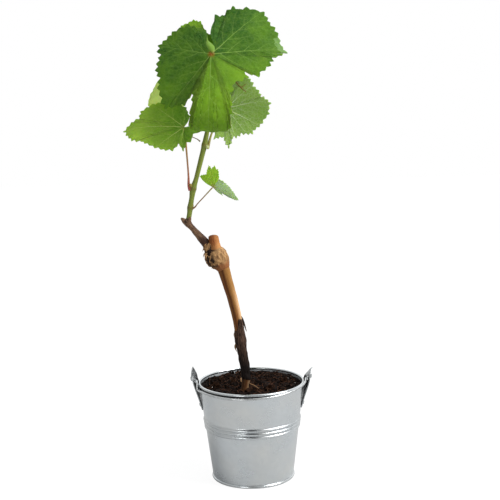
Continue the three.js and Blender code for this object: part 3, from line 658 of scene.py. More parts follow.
def stalk_skin(name, low, middle, top, span):
    """A thin stem's satin skin, whose colour changes from foot to tip over a span of heights in mm."""
    material, tree = blank(name)
    place = add_node(tree, "ShaderNodeTexCoord").outputs["Object"]
    height = add_node(tree, "ShaderNodeSeparateXYZ", {0: place}).outputs["Z"]
    up = add_node(tree, "ShaderNodeMapRange", {
        "Value": height, "From Min": span[0] * MM, "From Max": span[1] * MM})
    ramp = add_node(tree, "ShaderNodeValToRGB", {0: up})
    ramp.color_ramp.elements[0].color = linear(low)
    ramp.color_ramp.elements[1].color = linear(top)
    ramp.color_ramp.elements.new(0.5).color = linear(middle)
    fleck = add_node(tree, "ShaderNodeTexNoise", {"Vector": place, "Scale": 1 / (2 * MM), "Detail": 3.0})
    colour = add_node(tree, "ShaderNodeMix", {
        0: 0.25, 6: ramp, 7: fleck}, data_type="RGBA", blend_type="SOFT_LIGHT")
    surface(tree, {"Base Color": colour, "Roughness": 0.5, "Specular IOR Level": 0.2})
    return material


# how a leaf's two sides differ: satin above, matt with down below
UPPER = {"specular": 0.04, "net": 0.1, "rough": (0.42, 0.6), "sheen": 0.0, "sunken": False}
UNDER = {"specular": 0.1, "net": 0.13, "rough": (0.65, 0.9), "sheen": 0.05, "sunken": True}
VEIN_REACH = 2.2  # mm from a vein's middle within which it is drawn


def leaf_skin(name, deep, bright, vein, stalk_end, side):
    """A vine leaf's skin, thin enough to glow a little, brighter and yellower where the attribute young
    says: partly a new leaf's tone, partly painted light and shade. Pale veins and a fine net lie in it."""
    material, tree = blank(name)
    flat = add_node(tree, "ShaderNodeAttribute", attribute_name="flat").outputs["Vector"]
    across, away, pale, reach, young = [
        add_node(tree, "ShaderNodeAttribute", attribute_name=key).outputs["Fac"]
        for key in ("vein_side", "vein_away", "vein_pale", "reach", "young")]
    broad, mottle = [
        add_node(tree, "ShaderNodeTexNoise", {
            "Vector": flat, "Scale": 1 / (size * MM), "Detail": detail, "Roughness": rough})
        for size, detail, rough in ((22, 3.0, 0.6), (3, 4.0, 0.65))]
    cloud, fleck = [
        add_node(tree, "ShaderNodeMapRange", {
            "Value": source, "From Min": 0.3, "From Max": 0.7, "To Min": -amount, "To Max": amount})
        for source, amount in ((broad, 0.16), (mottle, 0.07))]
    clouded = add_node(tree, "ShaderNodeMath", {0: cloud, 1: young}, operation="ADD")
    share = add_node(tree, "ShaderNodeMath", {0: clouded, 1: fleck}, operation="ADD", use_clamp=True)
    net = add_node(tree, "ShaderNodeTexVoronoi", {
        "Vector": flat, "Scale": 1 / (3.4 * MM)}, feature="DISTANCE_TO_EDGE")
    thread = add_node(tree, "ShaderNodeMapRange", {
        "Value": net, "From Min": 0.02, "From Max": 0.14, "To Min": side["net"], "To Max": 0.0})
    width = add_node(tree, "ShaderNodeMath", {0: across}, operation="ABSOLUTE")
    on_vein = add_node(tree, "ShaderNodeMapRange", {
        "Value": width, "From Min": 0.6, "From Max": 1.6, "To Min": 1.0, "To Max": 0.0})
    near = add_node(tree, "ShaderNodeMath", {0: away, 1: VEIN_REACH}, operation="LESS_THAN")
    on_near = add_node(tree, "ShaderNodeMath", {0: on_vein, 1: near}, operation="MULTIPLY")
    veined = add_node(tree, "ShaderNodeMath", {0: on_near, 1: pale}, operation="MULTIPLY")
    hub = add_node(tree, "ShaderNodeMapRange", {
        "Value": reach, "From Min": 1.0, "From Max": 4.5, "To Min": 0.85, "To Max": 0.0})
    colour = add_node(tree, "ShaderNodeMix", {0: share, 6: deep, 7: bright}, data_type="RGBA")
    for share, over in ((thread, vein), (veined, vein), (hub, stalk_end)):
        colour = add_node(tree, "ShaderNodeMix", {0: share, 6: colour, 7: over}, data_type="RGBA")
    rough = add_node(tree, "ShaderNodeMapRange", {
        "Value": mottle, "To Min": side["rough"][0], "To Max": side["rough"][1]})
    pucker = add_node(tree, "ShaderNodeBump", {
        "Strength": 0.35, "Distance": 0.4 * MM, "Height": net}, invert=side["sunken"])
    grain = add_node(tree, "ShaderNodeBump", {
        "Strength": 0.25, "Distance": 0.15 * MM, "Height": mottle, "Normal": pucker})
    surface(tree, {
        "Base Color": colour, "Roughness": rough, "Normal": grain, "Specular IOR Level": side["specular"],
        "Subsurface Weight": 0.45, "Subsurface Radius": (0.7, 1.0, 0.2), "Subsurface Scale": 1.2 * MM,
        "Sheen Weight": side["sheen"]})
    return material


# ---- the pail's pieces ----
def wall_tree():
    """The pail's tapered wall: a sheet turned round the axis, with pressed ribs of one height."""
    tree, given = geometry_tree(
        "pressed_wall", Int=["Turns", "Rows"],
        Float=["Foot radius", "Foot height", "Top radius", "Top height", "Rib height", "Rib pitch", "Ribs",
               "Rib rise"])
    sheet = add_node(tree, "GeometryNodeMeshGrid", {
        "Size X": 1.0, "Size Y": 1.0, "Vertices X": given["Turns"], "Vertices Y": given["Rows"]})
    place = add_node(tree, "GeometryNodeInputPosition")
    spot = add_node(tree, "ShaderNodeSeparateXYZ", {0: place}).outputs
    angle = add_node(tree, "ShaderNodeMath", {0: spot["X"], 1: -2 * math.pi}, operation="MULTIPLY")
    height, radius = [
        add_node(tree, "ShaderNodeMapRange", {
            "Value": spot["Y"], "From Min": -0.5, "From Max": 0.5,
            "To Min": given["Foot " + size], "To Max": given["Top " + size]})
        for size in ("height", "radius")]
    above = add_node(tree, "ShaderNodeMath", {0: height, 1: given["Rib height"]}, operation="SUBTRACT")
    count = add_node(tree, "ShaderNodeMath", {0: above, 1: given["Rib pitch"]}, operation="DIVIDE")
    last = add_node(tree, "ShaderNodeMath", {0: given["Ribs"], 1: 0.5}, operation="SUBTRACT")
    ribs_only = add_node(tree, "ShaderNodeClamp", {"Value": count, "Min": -0.5, "Max": last})
    phase = add_node(tree, "ShaderNodeMath", {0: ribs_only, 1: math.pi}, operation="MULTIPLY")
    wave = add_node(tree, "ShaderNodeMath", {0: phase}, operation="COSINE")
    bump = add_node(tree, "ShaderNodeMath", {0: wave, 1: wave}, operation="MULTIPLY")
    ribbed = add_node(tree, "ShaderNodeMath", {
        0: bump, 1: given["Rib rise"], 2: radius}, operation="MULTIPLY_ADD")
    ahead = add_node(tree, "ShaderNodeCombineXYZ", {0: ribbed, 2: height})
    turned = add_node(tree, "ShaderNodeVectorRotate", {
        "Vector": ahead, "Angle": angle}, rotation_type="Z_AXIS")
    moved = add_node(tree, "GeometryNodeSetPosition", {"Geometry": sheet, "Position": turned})
    joined = add_node(tree, "GeometryNodeMergeByDistance", {0: moved, "Distance": 0.01 * MM})
    soft = add_node(tree, "GeometryNodeSetShadeSmooth", {0: joined})
    return end_tree(tree, soft, given["Material"])


def pail(zinc, rolled, dull):
    """The wall, whose inside is dull, and its rolled rim."""
    wall = grow("pail_wall", wall_tree(), bpy.data.meshes.new("pail_wall"), {
        "Foot radius": WALL_FOOT[0] * MM, "Foot height": WALL_FOOT[1] * MM,
        "Top radius": (WALL_TOP[0] + WALL_TUCK[0]) * MM, "Top height": (WALL_TOP[1] + WALL_TUCK[1]) * MM,
        "Rib height": RIB_FIRST * MM, "Rib pitch": RIB_PITCH * MM,
        "Ribs": float(RIB_COUNT), "Rib rise": RIB_RISE * MM,
        "Turns": 193, "Rows": 150, "Material": dull})
    solid = wall.modifiers.new("sheet", "SOLIDIFY")
    solid.thickness = SHEET * MM
    solid.offset = -1
    solid.material_offset = 1
    wall.data.materials.append(zinc)
    show(wall, stands_for=["pail_body"])
    radius, height = RIM_RADIUS - BEAD, RIM_TOP - BEAD
    ring = [[radius * math.cos(turn), radius * math.sin(turn), height, BEAD]
            for turn in np.linspace(0, 2 * math.pi, 181)]
    show(rods("rim_bead", [ring], rolled, sides=24))


def pail_base(zinc):
    """The flat bottom and the rolled bead that the pail stands on: a profile turned round the axis."""
    middle = FOOT_RADIUS - FOOT_BEAD
    profile = [[0, 0.0], [middle / 2, 0.0], [middle, 0.0]]
    for turn in range(-75, 91, 15):
        angle = math.radians(turn)
        profile.append([middle + FOOT_BEAD * math.cos(angle), FOOT_BEAD + FOOT_BEAD * math.sin(angle)])
    outer, height = WALL_FOOT
    inner = outer - 1.0
    profile += [[outer - 0.4, height + 0.2], [inner, height], [inner, BASE_SHEET], [0, BASE_SHEET]]
    turns = 160
    points = [[r * math.cos(a), r * math.sin(a), z] for r, z in profile[1:-1] for a in round_steps(turns)]
    points += [[0, 0, profile[0][1]], [0, 0, profile[-1][1]]]
    base = build("pail_base", points, capped(len(profile) - 2, turns), [zinc])
    show(base, stands_for=["pail_bottom"])


def ear_border(reach, low, high, turns):
    """How far the ear reaches in each direction from its hole: rows of (ahead, beside, distance). It has a
    round foot, straight sides and a pointed tip, and its edge is found by halving."""
    shoulder = reach * EAR_SHOULDER

    def half_width(along):
        if along < 0:
            return math.sqrt(max(low * low - along * along, 0.01))
        if along < shoulder:
            return EAR_HALF_WIDTH * (EAR_FOOT_WIDTH + (1 - EAR_FOOT_WIDTH) * along / shoulder)
        share = (along - shoulder) / (high - shoulder)
        return EAR_HALF_WIDTH * max(1 - share ** 2.4, 0.01)

    border = []
    for angle in round_steps(turns):
        ahead, beside = math.cos(angle), math.sin(angle)
        near, far = 0.0, high - low
        for _ in range(30):
            middle = (near + far) / 2
            along = reach + middle * ahead
            inside = low < along < high and abs(middle * beside) < half_width(along)
            near, far = (middle, far) if inside else (near, middle)
        border.append((ahead, beside, near))
    return border


def ear_place(side, word, reach, along, across, out):
    """A point of the bent ear, from its height along the plate, its distance across it and outwards."""
    at_hole, at_tip = np.radians(EAR_TWIST[word])
    risen = step(0, reach, along)
    turn = at_hole * risen + (at_tip - at_hole) * step(reach, reach + EAR_TWIST_SPAN, along)
    cupped = out - EAR_CUP * risen * (across / EAR_HALF_WIDTH) ** 2
    beside = across * math.cos(turn) + cupped * math.sin(turn)
    out = cupped * math.cos(turn) - across * math.sin(turn)
    past = max(along - reach, 0)
    out += past * math.sin(EAR_TIP_LEAN[word] * past / EAR_TIP[word] / 2)
    x = EAR_FOOT[0] + along * math.sin(EAR_LEAN) + out * math.cos(EAR_LEAN)
    z = EAR_FOOT[1] + along * math.cos(EAR_LEAN) - out * math.sin(EAR_LEAN)
    return [side * x, beside, z]


def ear(side, word, zinc, painted_shade):
    """A pointed ear of pressed sheet with a hole for the wire, with painted shade on its inner face. It is
    flat at the rivet, and further up its edges bend back towards the wall, it twists, and its tip leans."""
    turns, rows = 96, 14
    reach = (PIVOT - EAR_FOOT[1]) / math.cos(EAR_LEAN)
    border = ear_border(reach, -EAR_HALF_WIDTH * EAR_FOOT_WIDTH, reach + EAR_TIP[word], turns)
    points = []
    for face in (EAR_SHEET, 0.0):
        for row in range(rows + 1):
            for ahead, beside, limit in border:
                r = EAR_HOLE + (limit - EAR_HOLE) * (row / rows) ** 0.9
                points.append(ear_place(side, word, reach, reach + r * ahead, r * beside, face))
    back = (rows + 1) * turns
    faces = quads(rows + 1, turns) + quads(rows + 1, turns, back, over=True)
    for ring, flip in ((0, 1), (rows, -1)):
        for i in range(turns):
            p = ring * turns + i
            q = ring * turns + (i + 1) % turns
            faces.append((p, p + back, q + back, q)[::flip])
    if side < 0:
        faces = [face[::-1] for face in faces]
    # The inner sheet's faces take the second material, black with painted shade.
    picks = [0] * rows * turns + [1] * rows * turns + [0] * 2 * turns
    plate = build("ear_" + word + "_plate", points, faces, [zinc, painted_shade], picks)
    show(plate, stands_for=["ear_" + word])


def bail_drop(turn):
    """How much lower than the sagging arc the wire hangs beside its left ear, which is at 180 degrees."""
    last = 180 - BAIL_STEP
    return BAIL_DROP * math.exp((turn - last) / BAIL_EASE) * float(step(180, 180 - BAIL_BEND, turn)) ** 2


def bail(wire):
    """The swinging wire handle: an arc in front, with an eye bent through each ear."""
    arc = []
    for turn in range(BAIL_STEP, 180, BAIL_STEP):
        angle = math.radians(turn)
        arc.append([BAIL_HALF_SPAN * math.cos(angle), -BAIL_REACH * math.sin(angle),
                    PIVOT - BAIL_SAG * math.sin(angle) + BAIL_SKEW * math.sin(2 * angle) - bail_drop(turn)])
    other = [[-x, y, z] for x, y, z in reversed(BAIL_HOOK)]
    path = smooth([[*p, WIRE] for p in BAIL_HOOK + arc + other], steps=420)
    show(rods("bail_wire", [path], wire, sides=16), body="bail", stands_for=["bail"])


# ---- the soil ----
def soil_surface(reach, turns, rows):
    """Rings of points over the loose soil, out to a radius: mounds, hollows and clods."""
    a, r = np.meshgrid(round_steps(turns), reach * np.linspace(0.02, 1, rows))
    flat = np.stack([r * np.cos(a), r * np.sin(a), np.zeros_like(a)], axis=-1).reshape(-1, 3)
    high = 1.6 * wander(flat, 17, 3) + 1.0 * wander(flat, 7, 5) + 0.5 * wander(flat, 3, 8)
    return np.column_stack([flat[:, :2], SOIL_LEVEL + high])


def soil_bed(dark):
    """The body of soil, from just inside the wall's foot up to its loose surface."""
    turns, rows = 160, 60
    top = soil_surface(WALL_TOP[0] - SOIL_GAP[1] - SHEET, turns, rows)
    radius, height = WALL_FOOT[0] - SOIL_GAP[0], WALL_FOOT[1]
    foot = [[radius * math.cos(turn), radius * math.sin(turn), height] for turn in round_steps(turns)]
    points = np.vstack([top, foot, [0, 0, top[:turns, 2].mean()], [0, 0, height]])
    bed = build("soil_bed", points, capped(rows + 1, turns, over=True), [dark])
    show(bed, stands_for=["soil"])


def lump(name, seed, rough):
    """One uneven crumb, 1 unit in radius, of a few dozen faces."""
    shape = bmesh.new()
    bmesh.ops.create_icosphere(shape, subdivisions=2, radius=1.0)
    for vert in shape.verts:
        vert.co *= 1 + rough * noise.noise(vert.co * 1.7 + Vector((seed, 0, 0)))
    mesh = bpy.data.meshes.new(name)
    shape.to_mesh(mesh)
    shape.free()
    return mesh


def strand(name, seed):
    """One bent peat fibre, 1 unit long, as a thin square tube of a few dozen faces."""
    t = np.linspace(-0.5, 0.5, 7)
    bend_y = 0.16 * np.sin(3.1 * t + seed) + 0.05 * np.sin(9 * t + 2 * seed)
    bend_z = 0.12 * np.cos(2.3 * t + 1.7 * seed)
    girth = 0.022 * (1 - (2 * t) ** 4 * 0.6)
    points = [[t[k], bend_y[k] + girth[k] * math.cos(a), bend_z[k] + 0.6 * girth[k] * math.sin(a)]
              for k in range(7) for a in round_steps(4)]
    mesh = bpy.data.meshes.new(name)
    mesh.from_pydata(points, [], quads(7, 4, over=True) + [(0, 1, 2, 3), (27, 26, 25, 24)])
    return mesh


def scatter_tree():
    """Scatters turned, sized copies of one shape over the base surface."""
    tree, given = geometry_tree(
        "scattered_copies", Object=["Shape"], Int=["Seed"],
        Float=["Density", "Small", "Large", "Flat", "Tilt", "Lift"])
    spots = add_node(tree, "GeometryNodeDistributePointsOnFaces", {
        "Mesh": given["Geometry"], "Density": given["Density"], "Seed": given["Seed"]})
    shape = add_node(tree, "GeometryNodeObjectInfo", {"Object": given["Shape"]})
    low = add_node(tree, "ShaderNodeMath", {0: given["Tilt"], 1: -1.0}, operation="MULTIPLY")
    least = add_node(tree, "ShaderNodeCombineXYZ", {0: low, 1: low, 2: -math.pi})
    most = add_node(tree, "ShaderNodeCombineXYZ", {0: given["Tilt"], 1: given["Tilt"], 2: math.pi})
    turn = add_node(tree, "FunctionNodeRandomValue", {
        0: least, 1: most, "Seed": 11}, data_type="FLOAT_VECTOR")
    draw = add_node(tree, "FunctionNodeRandomValue", {2: 0.0, 3: 1.0, "Seed": 23}, data_type="FLOAT")
    skewed = add_node(tree, "ShaderNodeMath", {0: draw, 1: 2.5}, operation="POWER")
    size = add_node(tree, "ShaderNodeMapRange", {
        "Value": skewed, "To Min": given["Small"], "To Max": given["Large"]})
    squat = add_node(tree, "ShaderNodeMath", {0: size, 1: given["Flat"]}, operation="MULTIPLY")
    scale = add_node(tree, "ShaderNodeCombineXYZ", {0: size, 1: size, 2: squat})
    copies = add_node(tree, "GeometryNodeInstanceOnPoints", {
        "Points": spots, "Instance": shape.outputs["Geometry"], "Rotation": turn, "Scale": scale})
    raise_by = add_node(tree, "ShaderNodeCombineXYZ", {2: given["Lift"]})
    lifted = add_node(tree, "GeometryNodeTranslateInstances", {
        0: copies, "Translation": raise_by, "Local Space": False})
    return end_tree(tree, lifted, given["Material"])


def soil_litter(dark, brown, fibre, white):
    """Crumbs, fibres and grit over the soil, each kind one piece."""
    tree = scatter_tree()
    # name, shape, copies to the square metre, least and greatest size, flatness, seed, greatest tilt,
    # how far they are lifted, material, and how far out they lie
    kinds = [
        ("soil_crumbs", lump("crumb", 0.3, 0.9), 70000, 0.6, 2.8, 0.7, 1, 3.1, 0.2, dark, 49.5),
        ("soil_lumps", lump("clod", 4.3, 1.0), 9000, 1.0, 5.0, 0.65, 2, 3.1, 0.4, brown, 48),
        ("soil_fibres", strand("fibre", 0.4), 40000, 3.5, 13.0, 1.0, 3, 0.5, 0.9, fibre, 47),
        ("soil_threads", strand("thread", 2.6), 30000, 3.0, 15.0, 1.0, 4, 0.35, 1.2, brown, 46),
        ("perlite_grains", lump("grit", 7.7, 0.8), 1100, 0.25, 0.8, 0.9, 5, 3.1, 0.8, white, 48),
    ]
    turns, rows = 60, 16
    for name, shape, density, small, large, flat, seed, tilt, lift, material, reach in kinds:
        holder = bpy.data.objects.new("shape_" + name, shape)
        patch = plain_mesh("soil_patch", soil_surface(reach, turns, rows), quads(rows, turns))
        piece = grow(name, tree, patch, {
            "Shape": holder, "Density": float(density), "Small": small * MM, "Large": large * MM,
            "Flat": flat, "Seed": seed, "Tilt": tilt, "Lift": lift * MM, "Material": material})
        bpy.data.objects.remove(holder)
        show(piece)


# ---- the wood ----
BARK_TOP_RIGHT = 168.5  # height of the bark's cut edge on the right
BARK_DROP = 12.0  # how much lower that edge is on the left
BARK_FOOT = 108.0
DARK_LINE = 1.38 * math.pi  # the angle at which a dark line runs up the cane's front
HOLLOW = (1.5 * math.pi, 239)  # angle and height of the deep hollow in the union, under the cut stub
SHOOT_JOINTS = [281.5, 301, 344.5, 375, 404]  # heights
FLAKES = 26
FLAKE_HEIGHTS = (223, 245)


def strings(spots, size, seed, drawn_out):
    """Noise in strings along the limb."""
    return wander(spots.straight * [1, 1, drawn_out], size, seed)


def bark_share(spots):
    """1 where the old bark still covers the cane, 0 where it is bare."""
    left = step(0.35, 0.75, facing(spots.angle, math.pi))
    top = BARK_TOP_RIGHT - BARK_DROP * left + 1.5 * strings(spots, 2.2, 2, 0.3)
    high = spots.height + 0.9 * np.cos(spots.angle)
    foot = BARK_FOOT + 1.2 * np.cos(spots.angle + 0.5)
    return step(-0.5, 0.5, top - high) * step(-0.4, 0.4, high - foot)


def trunk_relief(spots):
    """Stringy and lumpy where there is bark, nearly smooth where the cane is bare."""
    bark = bark_share(spots)
    stringy = 1.3 * strings(spots, 1.3, 4, 0.16) + 0.7 * strings(spots, 0.7, 9, 0.22)
    cane = 0.10 * strings(spots, 1.6, 6, 0.12) + 0.22 * wander(spots.straight, 9, 12)
    lumps = 0.5 * wander(spots.straight, 6, 7)
    return bark * (0.35 + 0.42 * stringy + lumps) + (1 - bark) * cane


def shadow_side(spots):
    """The cane's left side: reddish streaked and darker, partly painted shade away from the light, with a
    ragged dark line up its front.
    """
    ragged = 0.10 * wander(spots.straight * [0, 0, 1], 18, 3)
    line = bell(spots.angle + ragged, DARK_LINE, 0.16)
    left = step(0.25, 0.95, facing(spots.angle, math.pi + 0.5))
    return np.clip(0.6 * left + 0.6 * line * step(150, 170, spots.height), 0, 0.9)


def cream_and_highlight_side(spots):
    """Where the cane is palest: its lower right, up to the bark's cut edge, creamier there and with a
    painted highlight on the side towards the light.
    """
    return step(0.45, 0.95, facing(spots.angle, 0.2)) * step(205, 180, spots.height) * 0.85


def trunk(wood):
    """The leaning rootstock cane, with old bark round its lower half."""
    looks = {"bark": bark_share, "shade": shadow_side, "cream_and_highlight": cream_and_highlight_side}
    piece = limb("rootstock_stem", ROOTSTOCK, trunk_relief, wood, looks, steps=420, sides=96)
    show(piece, stands_for=["rootstock"])


def knob(cork):
    """The graft union's callus: swollen folds on the right, deep cracks and torn ridges on the left."""

    def torn_side(spots):
        return step(0.35, 0.8, facing(spots.angle, math.pi - 0.3))

    def ridge(spots):
        """0 in the crevices, 1 on the ridges, which run slantwise."""
        return step(0.7, 1.6, np.array([noise.ridged_multi_fractal(Vector(p), 0.8, 2.3, 4, 1.0, 2.0)
                                        for p in spots.straight * [1, 1, 0.6] / 5]))

    def hole(spots):
        return bell(spots.angle, HOLLOW[0], 0.4) * bell(spots.height, HOLLOW[1], 2.2)

    def relief(spots):
        left = torn_side(spots)
        folds = 1.0 * wander(spots.straight, 7, 21) + 0.3 * wander(spots.straight, 2.5, 25)
        torn = (0.25 + 1.25 * left) * (1.7 * ridge(spots) - 1) + left * 0.5 * wander(spots.straight, 1.4, 23)
        return (folds + torn) * step(0, 7, spots.far) - 2.2 * hole(spots)

    # Dark crevices, darker towards the left, and the deep hollow painted dark as painted shade.
    def cracks(spots):
        left = torn_side(spots)
        worn = np.clip((1 - ridge(spots)) * (0.35 + 1.2 * left) + 0.35 * left, 0, 1)
        return np.clip(worn * (1 - 0.7 * step(8, 3, spots.far)) + 1.2 * hole(spots), 0, 1)

    def red_foot(spots):
        return step(9, 3, spots.far + 3 * wander(spots.straight, 5, 27)) * 0.85

    looks = {"crack": cracks, "blush": red_foot}
    piece = limb("graft_knob", GRAFT_KNOB, relief, cork, looks, steps=110, sides=120, round_end=4)
    show(piece, stands_for=["graft_union"])


def knob_flakes(cork):
    """Torn slips of callus that stand out of its left side."""
    draw = np.random.RandomState(8)
    stations = np.array(GRAFT_KNOB)
    steps = np.linspace(0, 1, 6)[:, None]
    paths = []
    low, high = FLAKE_HEIGHTS
    for _ in range(FLAKES):
        height = low + (high - low) * draw.rand()
        x, y, radius = [np.interp(height, stations[:, 2], stations[:, i]) for i in (0, 1, 3)]
        turn = math.pi * (0.92 + 0.5 * draw.rand())
        out = np.array([math.cos(turn), math.sin(turn), 0])
        foot = np.array([x, y, height]) + out * (radius - 0.6)
        droop = np.array([0.3 * draw.rand(), 0, -0.6 - 0.9 * draw.rand()])
        length = 1.4 + 2 * draw.rand()
        thick = 0.45 + 0.45 * draw.rand()
        line = foot + (out * 0.8 * steps + droop * steps ** 1.5) * length
        paths.append(np.column_stack([line, thick * (1.05 - steps[:, 0] ** 2)]))
    show(rods("callus_flakes", paths, cork, sides=7))


def stub(cane):
    """The rootstock's cut end: painted shade on its left and on the cut top, a painted highlight on its
    right, and a paler foot.
    """

    def relief(spots):
        return 0.25 * wander(spots.straight, 4, 31)

    # Painted shade rather than cracks: the left side and the cut top darkened.
    def cracks(spots):
        left = step(0.2, 1, facing(spots.angle, math.pi))
        return 0.35 * left + 0.25 * step(251.4, 253, spots.height)

    # A paler foot, and a painted highlight on the right side.
    def pale_foot_and_highlight(spots):
        right = step(0.6, 1, facing(spots.angle, -0.4))
        return np.clip(step(247, 240, spots.height) * 0.5 + 0.5 * right, 0, 0.8)

    looks = {"crack": cracks, "blush": pale_foot_and_highlight}
    piece = limb("cut_stub_wood", CUT_STUB, relief, cane, looks, steps=60, sides=72, round_end=2.2)
    show(piece, stands_for=["cut_stub"])


def spur(cork):
    """The short old bough, darker at its foot and on its right, and the collar round the shoot's base."""

    def relief(spots):
        return 0.3 * strings(spots, 1.2, 41, 0.2) + 0.35 * wander(spots.straight, 5, 43)

    def cracks(spots):
        stringy = step(0.05, 0.5, strings(spots, 1.6, 45, 0.2))
        return np.clip(0.5 * stringy + 0.8 * step(32, 41, spots.far), 0, 1)

    def dark_foot(spots):
        right = step(0.5, 1, facing(spots.angle, 0))
        return np.clip(step(18, 7, spots.far) + 0.6 * right, 0, 0.85)

    show(rods("spur_collar", [smooth(stations, 16) for stations in SPUR_COLLAR], cork, sides=12))
    looks = {"crack": cracks, "blush": dark_foot}
    piece = limb("old_spur_wood", OLD_SPUR, relief, cork, looks, steps=180, sides=64, round_end=1.5)
    show(piece, stands_for=["old_spur"])


def shoot(skin):
    """The green shoot, finely ribbed and swollen at its joints."""

    def relief(spots):
        ribs = 0.06 * np.sin(spots.angle * 11 + 1.3 * wander(spots.straight * [0, 0, 1], 30, 51))
        swell = sum(bell(spots.height, height, 2.2) for height in SHOOT_JOINTS)
        return ribs + 0.35 * swell + 0.12 * wander(spots.straight, 8, 53)

    def joints(spots):
        return np.clip(sum(bell(spots.height, height, 1.6) for height in SHOOT_JOINTS), 0, 1) * 0.6

    piece = limb("green_shoot", SHOOT, relief, skin, {"joint": joints}, steps=420, sides=40, round_end=2)
    show(piece, stands_for=["shoot"])


def notch_fold(skin):
    """The main leaf's folded lip: a small boat of new blade that bulges through the notch at its stalk."""
    line = smooth(NOTCH_FOLD, 60)
    across = np.linspace(-1, 1, 13)
    wide = len(across)
    back = len(line) * wide
    points = []
    for side in (-0.2, 0.2):
        for x, y, z, half in line:
            bulge = y - 0.5 * half * (1 - across ** 2) + side
            points.append(np.column_stack([x + half * across, bulge, np.full(wide, z)]))
    faces = [face[::-1] for face in quads(len(line), wide, closed=False)]
    faces += quads(len(line), wide, back, closed=False)
    grid = np.arange(back).reshape(-1, wide)
    border = np.concatenate([grid[:, 0], grid[-1, 1:], grid[-2::-1, -1], grid[0, -2:0:-1]]).tolist()
    faces += [(a, b, b + back, a + back) for a, b in zip(border, border[1:] + border[:1])]
    show(build("leaf_main_notch_fold", np.concatenate(points), faces, [skin]))


def bud(name, at, aim, size, material):
    """A pointed bud in the angle of a stalk."""
    rows = []
    for share in np.linspace(0, 1, 12):
        girth = size * 0.42 * math.sin(math.pi * min(share * 0.8 + 0.18, 1)) + 0.02
        rows.append([*(np.array(at) + unit(aim) * size * share), girth])
    show(rods(name, [rows], material, sides=16))


# ---- the leaves' shape ----
def bend(leaf, flat):
    """The bent blade over flat points, in mm: the same rule as the frame's leaf solids."""
    face = unit(leaf["face"])
    aim = np.array(leaf["aim"], float)
    midrib = unit(aim - face * (aim @ face))
    beside = np.cross(face, midrib)
    middle = math.radians(leaf["middle"])
    reach = np.hypot(flat[:, 0], flat[:, 1])
    angle = np.arctan2(flat[:, 1], flat[:, 0]) - middle
    angle -= 2 * math.pi * np.round(angle / (2 * math.pi))
    share = angle / math.pi
    angle = angle + middle
    at, lift, curl = (np.radians(column) for column in np.array(leaf["pose"], float).T)
    i = np.clip(np.searchsorted(at, angle) - 1, 0, len(at) - 2)
    across = np.clip((angle - at[i]) / (at[i + 1] - at[i]), 0, 1)
    w = (1 - np.cos(math.pi * across)) / 2
    lifted = lift[i] * (1 - w) + lift[i + 1] * w
    curled = curl[i] * (1 - w) + curl[i + 1] * w
    angle = angle - np.sign(share) * math.radians(leaf["open"]) * np.abs(share) ** 6 * bell(reach, 12, 8)
    steps = 24
    out, up = np.zeros_like(reach), np.zeros_like(reach)
    for k in range(steps):
        along = (k + 0.5) / steps * reach / leaf["size"]
        slope = lifted + curled * along ** leaf["late"]
        out += reach / steps * np.cos(slope)
        up += reach / steps * np.sin(slope)
    return (np.array(leaf["at"], float) + (out * np.cos(angle))[:, None] * midrib
            + (out * np.sin(angle))[:, None] * beside + up[:, None] * face)


def leaf_edge(leaf):
    """The blade's flat outline: slightly bulged chords from corner to corner, cut into pointed teeth."""
    lobes, (lip_start, lip_end, lip_radius) = leaf["lobes"], leaf["lip"]
    start, end = lobes[0][0] - lip_start, lobes[-1][0] + lip_end
    corners = [(start, 2.0), (start, lip_radius)]
    tips = []
    for lobe in lobes:
        tips.append(len(corners))
        corners += [lobe[k:k + 2] for k in range(0, len(lobe), 2)]
    corners += [(end, lip_radius), (end, 2.0)]
    spots = [np.array([r * math.cos(math.radians(a)), r * math.sin(math.radians(a))]) for a, r in corners]
    base = []
    tips_at = []
    for k in range(len(spots) - 1):
        if k in tips:
            tips_at.append(len(base))
        chord = spots[k + 1] - spots[k]
        count = max(2, math.ceil(np.linalg.norm(chord) / 0.5))
        share = np.linspace(0, 1, count, endpoint=False)[:, None]
        bulge = 0 if k in (0, len(spots) - 2) else 0.24 * share * (1 - share)
        base.extend(spots[k] + chord * share + np.array([chord[1], -chord[0]]) * bulge)
    base = np.array([*base, spots[-1]])
    walked = np.concatenate([[0], np.cumsum(np.linalg.norm(np.diff(base, axis=0), axis=1))])
    marks = tooth_marks(leaf, walked[tips_at], walked[-1])
    slope = unit(np.gradient(base, axis=0))
    outline = []
    for (s0, a0), (s1, a1) in zip(marks[:-1], marks[1:]):
        u = np.linspace(0, 1, max(2, math.ceil((s1 - s0) / 0.9)), endpoint=False)
        off = a0 + (a1 - a0) * u ** 0.9 if a1 > a0 else a1 + (a0 - a1) * (1 - u) ** 0.9
        s = s0 + (s1 - s0) * u
        spot = np.column_stack([np.interp(s, walked, base[:, i]) for i in (0, 1)])
        out = np.column_stack([np.interp(s, walked, slope[:, 1]), -np.interp(s, walked, slope[:, 0])])
        fade = np.clip((np.linalg.norm(spot, axis=1) / leaf["size"] - 0.2) / 0.25, 0, 1)
        outline.append(spot + out * (off * fade)[:, None])
    return np.concatenate([*outline, base[-1:]])


